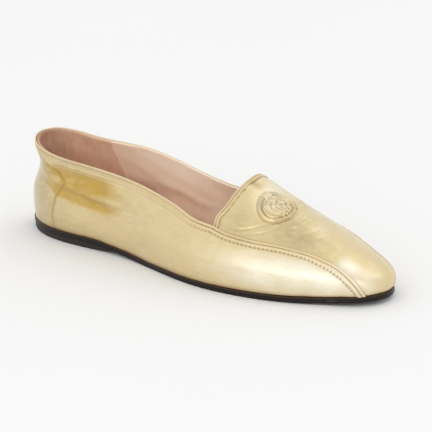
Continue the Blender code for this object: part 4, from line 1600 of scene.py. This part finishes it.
def makeOutsole():
    low, high, r = soleBottom, soleTop, outsole["edgeRound"]
    inset, depth = outsole["channelInset"], outsole["channelDepth"]
    rings = [
        (2.6, high, -0.05), (1.0, high, -0.20), (0.55, high, -0.26), (0.22, high, -0.38), (0.06, high, -0.56),
        (0.0, high, -0.85), (0.05, high, -1.3), (0.05, low, 1.4), (0.0, low, r), (0.10, low, 0.55 * r),
        (0.30 * r, low, 0.28 * r), (0.62 * r, low, 0.08 * r), (r, low, 0.0), (inset, low, 0.0),
        (inset + 0.12, low, depth), (inset + 0.55, low, depth), (inset + 0.67, low, 0.0),
        (inset + 2.0, low, 0.0),
    ]

    def worn(x, across):
        dish = 1.0 - across ** 2
        return 0.18 * bell(x, 190.0, 26.0) * dish + 0.10 * bell(x, 30.0, 20.0) * dish

    verts, faces = soleSolid(roundedShares(720), rings, 0.0, bottomCrown=worn)
    x, y, z = verts.T
    drop = z - soleBottom(x)
    # Browner towards the top of the edge, next to the upper.
    soilAndShade = 0.9 * ease(drop, 2.5, 3.2)
    flat = 1.0 - ease(drop, 0.05, 0.6)
    rubAndHighlight = np.maximum(flat * (bell(x, 190.0, 34.0) + bell(x, 235.0, 14.0) + 0.35), 0.15 * bell(drop, 0.4, 0.5))
    rubAndHighlight = np.maximum(rubAndHighlight, 0.9 * bell(x, 228.0, 9.0) * bell(drop, 1.7, 0.9))
    addPiece("outsoleFinished", verts, faces, soleBlack, {"soilAndShade": soilAndShade, "rubAndHighlight": rubAndHighlight},
             replaces=("outsole",), sharp=60.0)


heelLift = {
    "inset": 0.35,
    "breast": 78.0,
    "flatEnd": 56.0,
    "breastRise": 1.4,
}


def makeHeelLift():
    breast, flatEnd = heelLift["breast"], heelLift["flatEnd"]

    def bottom(x):
        return heelLift["breastRise"] * np.clip((x - flatEnd) / (breast - flatEnd), 0.0, 1.0) ** 2

    def top(x):
        return soleBottom(x) - 0.02

    fine = np.linspace(0.0, 0.5, 2000)
    spread = 1.0 - np.cos(0.5 * np.pi * np.linspace(0.0, 1.0, 121))
    outer = spread * np.interp(breast, soleOutline(fine)[0][:, 0], fine)
    inner = 1.0 - spread * np.interp(breast, soleOutline(1.0 - fine)[0][:, 0], fine)
    shares = np.concatenate([outer, inner[1:][::-1]])
    rings = [(0.08, top, 0.0), (0.0, top, -0.06), (0.0, bottom, 0.55), (0.14, bottom, 0.2),
             (0.45, bottom, 0.0), (3.0, bottom, 0.0)]

    def worn(x, across):
        return 0.10 * bell(x, 10.0, 14.0) * (1.0 - across ** 2)

    verts, faces = soleSolid(shares, rings, heelLift["inset"], bottomCrown=worn, acrossCount=20)
    x, y, z = verts.T
    rubAndHighlight = np.clip(bell(z - bottom(x), 0.0, 0.35) * (0.5 + bell(x, 6.0, 16.0)), 0.0, 1.0)
    addPiece("heelLiftFinished", verts, faces, rubber, {"rubAndHighlight": rubAndHighlight},
             replaces=("heel_lift",), sharp=50.0)


sockSizes = {
    "wall": 1.62,       # the upper's wall and the gap beside it
    "gap": 0.3,
    "rim": ((0.25, 2.35), (0.0, 2.2), (0.0, 0.1)),      # inset, height over the sole
    "dish": 0.55,
    "softness": 0.12,
}


# 1 in the middle of an oval print of the foot, 0 outside it.
def footprint(x, y, middleX, middleY, reachX, reachY):
    return bell(np.hypot((x - middleX) / reachX, (y - middleY) / reachY), 0.0, 1.0)


def makeSock():
    inset = last["featherInset"] + sockSizes["wall"] + sockSizes["gap"]

    def seat(x):
        return soleTop(x) + last["jointGap"]

    rings = [(extra, seat, height) for extra, height in sockSizes["rim"]]

    def cup(x, across):
        middle = 1.0 - np.abs(across) ** 2.6
        soft = sockSizes["softness"] * np.sin(0.19 * x + 0.4) * np.cos(2.2 * across + 0.05 * x)
        dish = sockSizes["dish"] + 0.35 * bell(x, 30.0, 22.0) + 0.30 * bell(x, 185.0, 26.0)
        return -dish * middle + soft * middle

    verts, faces = soleSolid(roundedShares(560), rings, inset, topCrown=cup, acrossCount=44)
    x, y, z = verts.T
    rubAndHighlight = 0.7 * footprint(x, y, 30.0, 0.0, 22.0, 15.0) + 0.6 * footprint(x, y, 182.0, 0.0, 26.0, 24.0)
    soilAndShade = 0.45 * footprint(x, y, 228.0, 2.0, 20.0, 16.0) + 0.3 * bell(x, 185.0, 30.0)
    addPiece("insoleSock", verts, faces, sock, {"rubAndHighlight": rubAndHighlight, "soilAndShade": soilAndShade},
             replaces=("insole",))


makeOutsole()
makeHeelLift()
makeSock()
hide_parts("upper")
print("sole, lift and sock made")


# Floor, light and camera.
stage = {
    "floor": (0.95, 0.95, 0.95),
    "floorReach": 6.0,
    "world": 0.93,
    "aim": (0.10, 0.0, 0.02),
    # azimuth from -y towards +x, elevation, distance, (width, height), power
    "key": (30.0, 28.0, 2.0, (1.1, 1.2), 0.8),
    "core": (30.0, 27.0, 2.0, (0.7, 0.9), 0.5),
    "broad": (26.0, 24.0, 2.05, (1.8, 1.3), 0.6),
    "wide": (8.0, 12.0, 2.1, (2.9, 2.0), 5.4),
    "back": (160.0, 60.0, 2.0, (1.4, 1.2), 1.9),
}


def makeFloor():
    mesh = bpy.data.meshes.new("floor")
    reach = stage["floorReach"]
    corners = [(-reach, -reach, 0.0), (reach, -reach, 0.0), (reach, reach, 0.0), (-reach, reach, 0.0)]
    mesh.from_pydata(corners, [], [(0, 1, 2, 3)])
    f = Finish("floorPaint")
    shade = f.noise(180.0, detail=2.0)
    colour = f.mix(stage["floor"], tuple(0.98 * c for c in stage["floor"]), shade)
    mesh.materials.append(f.close(Base_Color=colour, Roughness=0.9))
    floor = bpy.data.objects.new("floor", mesh)
    bpy.context.scene.collection.objects.link(floor)


def makeLights():
    world = bpy.data.worlds.new("studio")
    bpy.context.scene.world = world
    world.use_nodes = True
    background = world.node_tree.nodes["Background"]
    background.inputs["Color"].default_value = (1.0, 1.0, 1.0, 1.0)
    background.inputs["Strength"].default_value = stage["world"]
    middle = Vector(stage["aim"])
    for name in ("wide", "broad", "key", "core", "back"):
        azimuth, elevation, distance, size, power = stage[name]
        a, e = math.radians(azimuth), math.radians(elevation)
        data = bpy.data.lights.new(name, "AREA")
        data.shape = "RECTANGLE"
        data.size, data.size_y = size
        data.energy = power
        lamp = bpy.data.objects.new(name, data)
        away = Vector((math.sin(a) * math.cos(e), -math.cos(a) * math.cos(e), math.sin(e)))
        lamp.location = middle + away * distance
        lamp.rotation_euler = (-away).to_track_quat("-Z", "Y").to_euler()
        lamp.visible_camera = False
        bpy.context.scene.collection.objects.link(lamp)


view = {
    "azimuth": 38.0,
    "elevation": 18.28,
    "roll": -1.08,
    "distance": 1200.0,
    "target": (126.0, 0.0, 25.0),
    "aside": (33.42, 9.22),         # the camera's place beside and above the line to the target
    "lens": 178.0,
    "sensor": 36.0,
    "shift": (-0.109, -0.038),
    "clip": (0.05, 30.0),
}


def makeCamera():
    a, e, r = (math.radians(view[name]) for name in ("azimuth", "elevation", "roll"))
    right = Vector((math.cos(a), math.sin(a), 0.0))
    back = Vector((math.sin(a) * math.cos(e), -math.cos(a) * math.cos(e), math.sin(e)))
    up = back.cross(right)
    right, up = right * math.cos(r) + up * math.sin(r), up * math.cos(r) - right * math.sin(r)
    aside, above = view["aside"]
    place = (Vector(view["target"]) + back * view["distance"] + right * aside + up * above) * mm
    data = bpy.data.cameras.new("camera")
    data.sensor_width = view["sensor"]
    data.lens = view["lens"]
    data.shift_x, data.shift_y = view["shift"]
    data.clip_start, data.clip_end = view["clip"]
    camera = bpy.data.objects.new("camera", data)
    camera.matrix_world = Matrix((
        (right.x, up.x, back.x, place.x + heelBack), (right.y, up.y, back.y, place.y),
        (right.z, up.z, back.z, place.z), (0.0, 0.0, 0.0, 1.0)))
    bpy.context.scene.collection.objects.link(camera)
    bpy.context.scene.camera = camera


makeFloor()
makeLights()
makeCamera()
bpy.context.scene.view_settings.view_transform = "Standard"
print("stage set")
